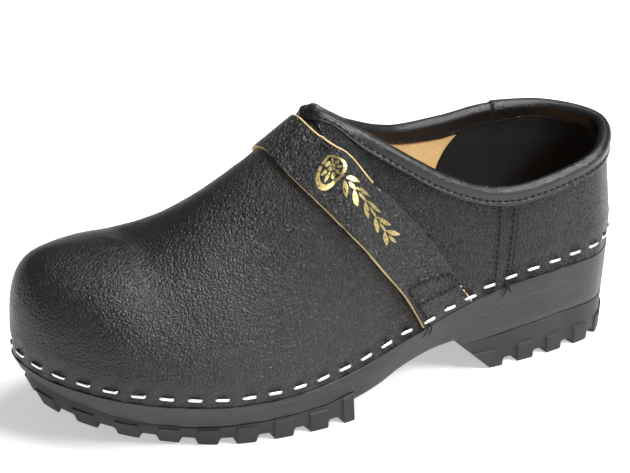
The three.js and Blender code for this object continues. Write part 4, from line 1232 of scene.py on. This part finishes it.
def tread_piece(name, node, end_x, tread_top, first, last):
    """One rubber tread: notched lugs along its rim, side blocks that stand proud of it, and a
    flat middle. end_x gives the place of its cut end at a height."""
    dense = np.linspace(first - 1.5, last + 1.5, 3001)
    foot = sole_foot(dense, z=0.0)
    run = np.concatenate([[0], np.cumsum(np.linalg.norm(np.diff(foot, axis=0), axis=1))])
    heel = end_x(0.0) < 0
    inside = foot[:, 0] < end_x(0.0) if heel else foot[:, 0] > end_x(0.0)
    start, stop = run[np.argmax(inside)], run[len(inside) - 1 - np.argmax(inside[::-1])]
    notch = np.interp(first, dense, run) + LUG_PITCH / 2 + LUG_PITCH * np.arange(60)
    notch = notch[(notch < np.interp(last, dense, run) + 0.1)]
    flank = np.linspace(2.0, 5.0, 9)
    fine = np.concatenate([[-8.0, -6.4], -np.linspace(5.0, 2.0, 9), [-1.3, -0.5, 0.5, 1.3], flank, [6.4]])
    cols = (notch[:, None] + fine[None, :]).ravel()
    cols = cols[(cols > start + 0.4) & (cols < stop - 0.4)]
    cols = np.concatenate([[start], cols, [stop]])
    u = np.interp(cols, run, dense)
    q = np.abs(cols[:, None] - notch[None, :]).min(1)
    p0 = sole_foot(u, z=0.0)
    rise = ground(p0[:, 0])
    arch = NOTCH_TOP * (1 - smooth(2.3, 4.3, q))
    near_start, near_stop = 1 - smooth(0, 13, cols - start), 1 - smooth(0, 13, stop - cols)
    near = np.maximum(near_start, near_stop)
    x_side = np.sign(p0[:, 1] + 3)

    def at_height(z, grow):
        # Slides the columns near the cut end so that the last one lies on the end's plane
        guess = u.copy()
        for _ in range(4):
            p = wall_at(guess, z, grow)
            miss = end_x(z) - p[:, 0]
            slope = (wall_at(guess + 0.01, z, grow)[:, 0] - p[:, 0]) / 0.01
            edge = np.zeros(len(u))
            edge[0], edge[-1] = 1, 1
            guess = guess + edge * miss / np.where(np.abs(slope) < 1, 1, slope)
        moved = guess - u
        shift = np.where(near_start > near_stop, moved[0] * near_start, moved[-1] * near_stop)
        p = wall_at(u + shift, z, grow)
        p[0, 0], p[-1, 0] = end_x(z[0]), end_x(z[-1])
        return p

    whole = tread_top(p0[:, 0]) - rise
    tall = (p0[:, 0] < 23) & (p0[:, 0] > 13)
    top_of_block = np.where(tall, whole - 0.5, BLOCK_TOP)

    def proud(h):
        side = smooth(3.3, 4.0, q)
        return BLOCK_PROUD * side * (1 - smooth(top_of_block - 0.1, top_of_block + 0.35, h))

    rows = []
    across = np.stack([0 * u, -x_side, 0 * u], -1)
    inner_dir = unit(np.where(near[:, None] > 0, mix(-outward(u), across, near[:, None]), -outward(u)))

    def inset(p, d):
        moved = p + inner_dir * d
        return moved

    top_wall = at_height(rise + whole, 0 * u)
    for d in (NOTCH_DEPTH + 1, 8.0, 0.35):
        p = inset(top_wall, d)
        p[:, 2] = tread_top(p[:, 0])
        rows.append(p)
    heights = [whole - 0.3, whole - 0.8, mix(whole, 8.6, 0.6) if heel else whole - 0.9]
    for h in heights:
        rows.append(at_height(rise + h, proud(h)))
    for h in (8.62, 8.42, 8.22, 8.0, 6.5, 4.5, 3.4, 2.2, 1.3, 0.7):
        lifted = arch + h * (8.7 - arch) / 8.7
        level = np.where(tall, lifted * (whole - 0.9) / 8.7, lifted)
        rows.append(at_height(rise + level, proud(level)))
    low = at_height(rise + arch + 0.25, proud(arch + 0.25))
    rows.append(inset(low, 0.15))
    low = at_height(rise + arch, proud(arch))
    for d in (0.6, 1.5, 5.0, 10.0, NOTCH_DEPTH - 1.2, NOTCH_DEPTH - 0.3, NOTCH_DEPTH + 1):
        p = inset(low, d)
        p[:, 2] = ground(p[:, 0]) + arch * (1 - smooth(NOTCH_DEPTH - 1.0, NOTCH_DEPTH + 0.6, d))
        rows.append(p)
    points = np.stack(rows, 1)
    n, m = points.shape[:2]
    for k in (0, n - 1):
        points[k, :, 0] = [end_x(z) for z in points[k, :, 2]]
    piece = laid_grid(name, points)
    top_row, foot_row = np.arange(n) * m, np.arange(n) * m + m - 1
    first_col, last_col = np.arange(m), (n - 1) * m + np.arange(m)
    span(piece, [top_row[0], top_row[-1]])
    span(piece, [foot_row[0], foot_row[-1]])
    span(piece, np.concatenate([first_col, last_col]))
    span(piece, top_row)
    span(piece, foot_row)
    edit(piece, lambda: bpy.ops.mesh.quads_convert_to_tris(ngon_method="BEAUTY", quad_method="BEAUTY"), merge, face_out)
    return complete(piece, RUBBER, [node], 38)


def fore_top(x):
    return np.where(x > 60, ground(x) + FORE_TREAD - GAP, np.interp(x, [14.3, 28, 50, 60], [12.15, 10.0, 9.2, 9.2]))


def heel_top(x):
    return np.interp(x, [-170, -98, -48.3], [18.2, 18.2, 13.7])


tread_piece("forefoot_rubber", "forefoot_tread", lambda z: TREAD_BACK + GAP + 0 * z, fore_top, -6.2, 6.2)
tread_piece("heel_rubber", "heel_tread", breast_at, heel_top, 8.8, 15.2)


# ---- Staples --------------------------------------------------------------------------------
def staple_wire():
    """One staple bent from flat wire: crown along X, legs down -Z, ends cut."""
    half, bend = STAPLE_CROWN / 2 - WIRE_WIDE / 4, 0.9
    path, way = [], []
    for z in np.linspace(-STAPLE_LEG, -bend, 4)[:-1]:
        path.append([-half, z]), way.append(90)
    for a in np.linspace(180, 90, 6):
        path.append([-half + bend + bend * math.cos(math.radians(a)), -bend + bend * math.sin(math.radians(a))])
        way.append(a - 90)
    for x in np.linspace(-half + bend, half - bend, 7)[1:-1]:
        path.append([x, 0.05 * (1 - (x / half) ** 2)]), way.append(0)
    for a in np.linspace(90, 0, 6):
        path.append([half - bend + bend * math.cos(math.radians(a)), -bend + bend * math.sin(math.radians(a))])
        way.append(a - 90)
    for z in np.linspace(-bend, -STAPLE_LEG, 4)[1:]:
        path.append([half, z]), way.append(-90)
    section = []
    for a in np.radians(np.arange(0, 361, 30)):
        c, s = math.cos(a), math.sin(a)
        wide = abs(c) ** 0.55 * math.copysign(1, c) * WIRE_WIDE / 2
        section.append([wide, abs(s) ** 0.55 * math.copysign(1, s) * WIRE_FLAT / 2])
    rows = []
    for (x, z), a in zip(path, np.radians(way)):
        nx, nz = -math.sin(a), math.cos(a)
        rows.append([[x + nx * t, w, z + nz * t] for w, t in section])
    piece = laid_grid("staple_wire", np.array(rows) - ORIGIN_SHIFT)
    m = len(section)
    n = len(path)
    span(piece, np.arange(m))
    span(piece, (n - 1) * m + np.arange(m))
    edit(piece, merge, face_out)
    return piece


wire = staple_wire()
v = staple_v
out = normal_at(staple_u, v)
run = unit(surface(staple_u + 0.02, v) - surface(staple_u - 0.02, v))
lift = unit(np.cross(out, run))
matrices = []
wobble = np.random.RandomState(3)
for k in range(STAPLES):
    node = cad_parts.get(f"staple_{k + 1:02d}")
    seat = 0.0
    if node:
        co = np.array([list(x.co) for x in node.data.vertices]) / MM - ORIGIN_SHIFT
        seat = max(float(((co - staple_at[k]) @ out[k]).max()) - GAP - 0.7, 0.0)
    tilt = math.radians(wobble.uniform(-4, 4))
    x_axis = run[k] * math.cos(tilt) + lift[k] * math.sin(tilt)
    y_axis = np.cross(out[k], x_axis)
    matrices.append(placing(staple_at[k] + out[k] * (seat + 0.28), x_axis, y_axis, out[k]))
for k, piece in enumerate(copies(wire, matrices, "staple_wire")):
    node = [f"staple_{k + 1:02d}"] if f"staple_{k + 1:02d}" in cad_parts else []
    complete(piece, STEEL, node, 60)

for spare in (wire, bead):
    bpy.data.objects.remove(spare)

# ---- Floor, light and camera ----------------------------------------------------------------
leave_all()
bpy.ops.mesh.primitive_plane_add(size=12)
floor = bpy.context.object
floor.name = "studio_floor"
paint, paint_tree, _ = new_material("Matt white paper")
# the paper glows a little, so that it stays white to its edges
paper = {
    "Base Color": colour("#f4f4f4"), "Roughness": 0.9,
    "Emission Color": colour("#ffffff"), "Emission Strength": 0.48,
}
close(paint_tree, add(paint_tree, "ShaderNodeBsdfPrincipled", paper))
floor.data.materials.append(paint)

target = Vector((float(0.37 + ORIGIN_SHIFT[0]) * MM, float(-13.23 + ORIGIN_SHIFT[1]) * MM, 57.28 * MM))
azimuth, elevation, distance = math.radians(27.34), math.radians(23.11), 0.9
back = Vector(
    (math.sin(azimuth) * math.cos(elevation), math.cos(azimuth) * math.cos(elevation), math.sin(elevation))
)


def softbox(name, place, size, power):
    """A rectangular lamp that looks at the clog; place and size in metres, power in watts."""
    data = bpy.data.lights.new(name, "AREA")
    data.shape = "RECTANGLE"
    data.size, data.size_y = size
    data.energy = power
    light = bpy.data.objects.new(name, data)
    bpy.context.scene.collection.objects.link(light)
    light.location = place
    light.rotation_euler = (Vector((0, 0, 0.05)) - Vector(place)).to_track_quat("-Z", "Y").to_euler()
    return light


softbox("overhead", (-0.45, 0.0, 1.2), (0.6, 0.45), 11)
softbox("key", (-0.75, 1.0, 1.0), (0.6, 0.5), 24)
softbox("front", (1.15, 0.5, 0.9), (0.4, 0.4), 0.8)

sun = bpy.data.objects.new("ceiling", bpy.data.lights.new("ceiling", "SUN"))
sun.data.energy = 1.0
sun.data.angle = math.radians(30)
sun.rotation_euler = Vector((0.35, -0.2, -1)).to_track_quat("-Z", "Y").to_euler()
bpy.context.scene.collection.objects.link(sun)

world = bpy.data.worlds.new("Studio")
bpy.context.scene.world = world
world.use_nodes = True
world.node_tree.nodes["Background"].inputs["Color"].default_value = (1, 1, 1, 1)
world.node_tree.nodes["Background"].inputs["Strength"].default_value = 0.12

camera_data = bpy.data.cameras.new("Camera")
camera_data.sensor_width = 36
camera_data.lens = 36 * 2056.5 / 630
camera_data.clip_start, camera_data.clip_end = 0.05, 50
camera = bpy.data.objects.new("Camera", camera_data)
bpy.context.scene.collection.objects.link(camera)
camera.location = target + back * distance
camera.rotation_euler = (-back).to_track_quat("-Z", "Y").to_euler()
bpy.context.scene.camera = camera
bpy.context.scene.view_settings.view_transform = "Standard"
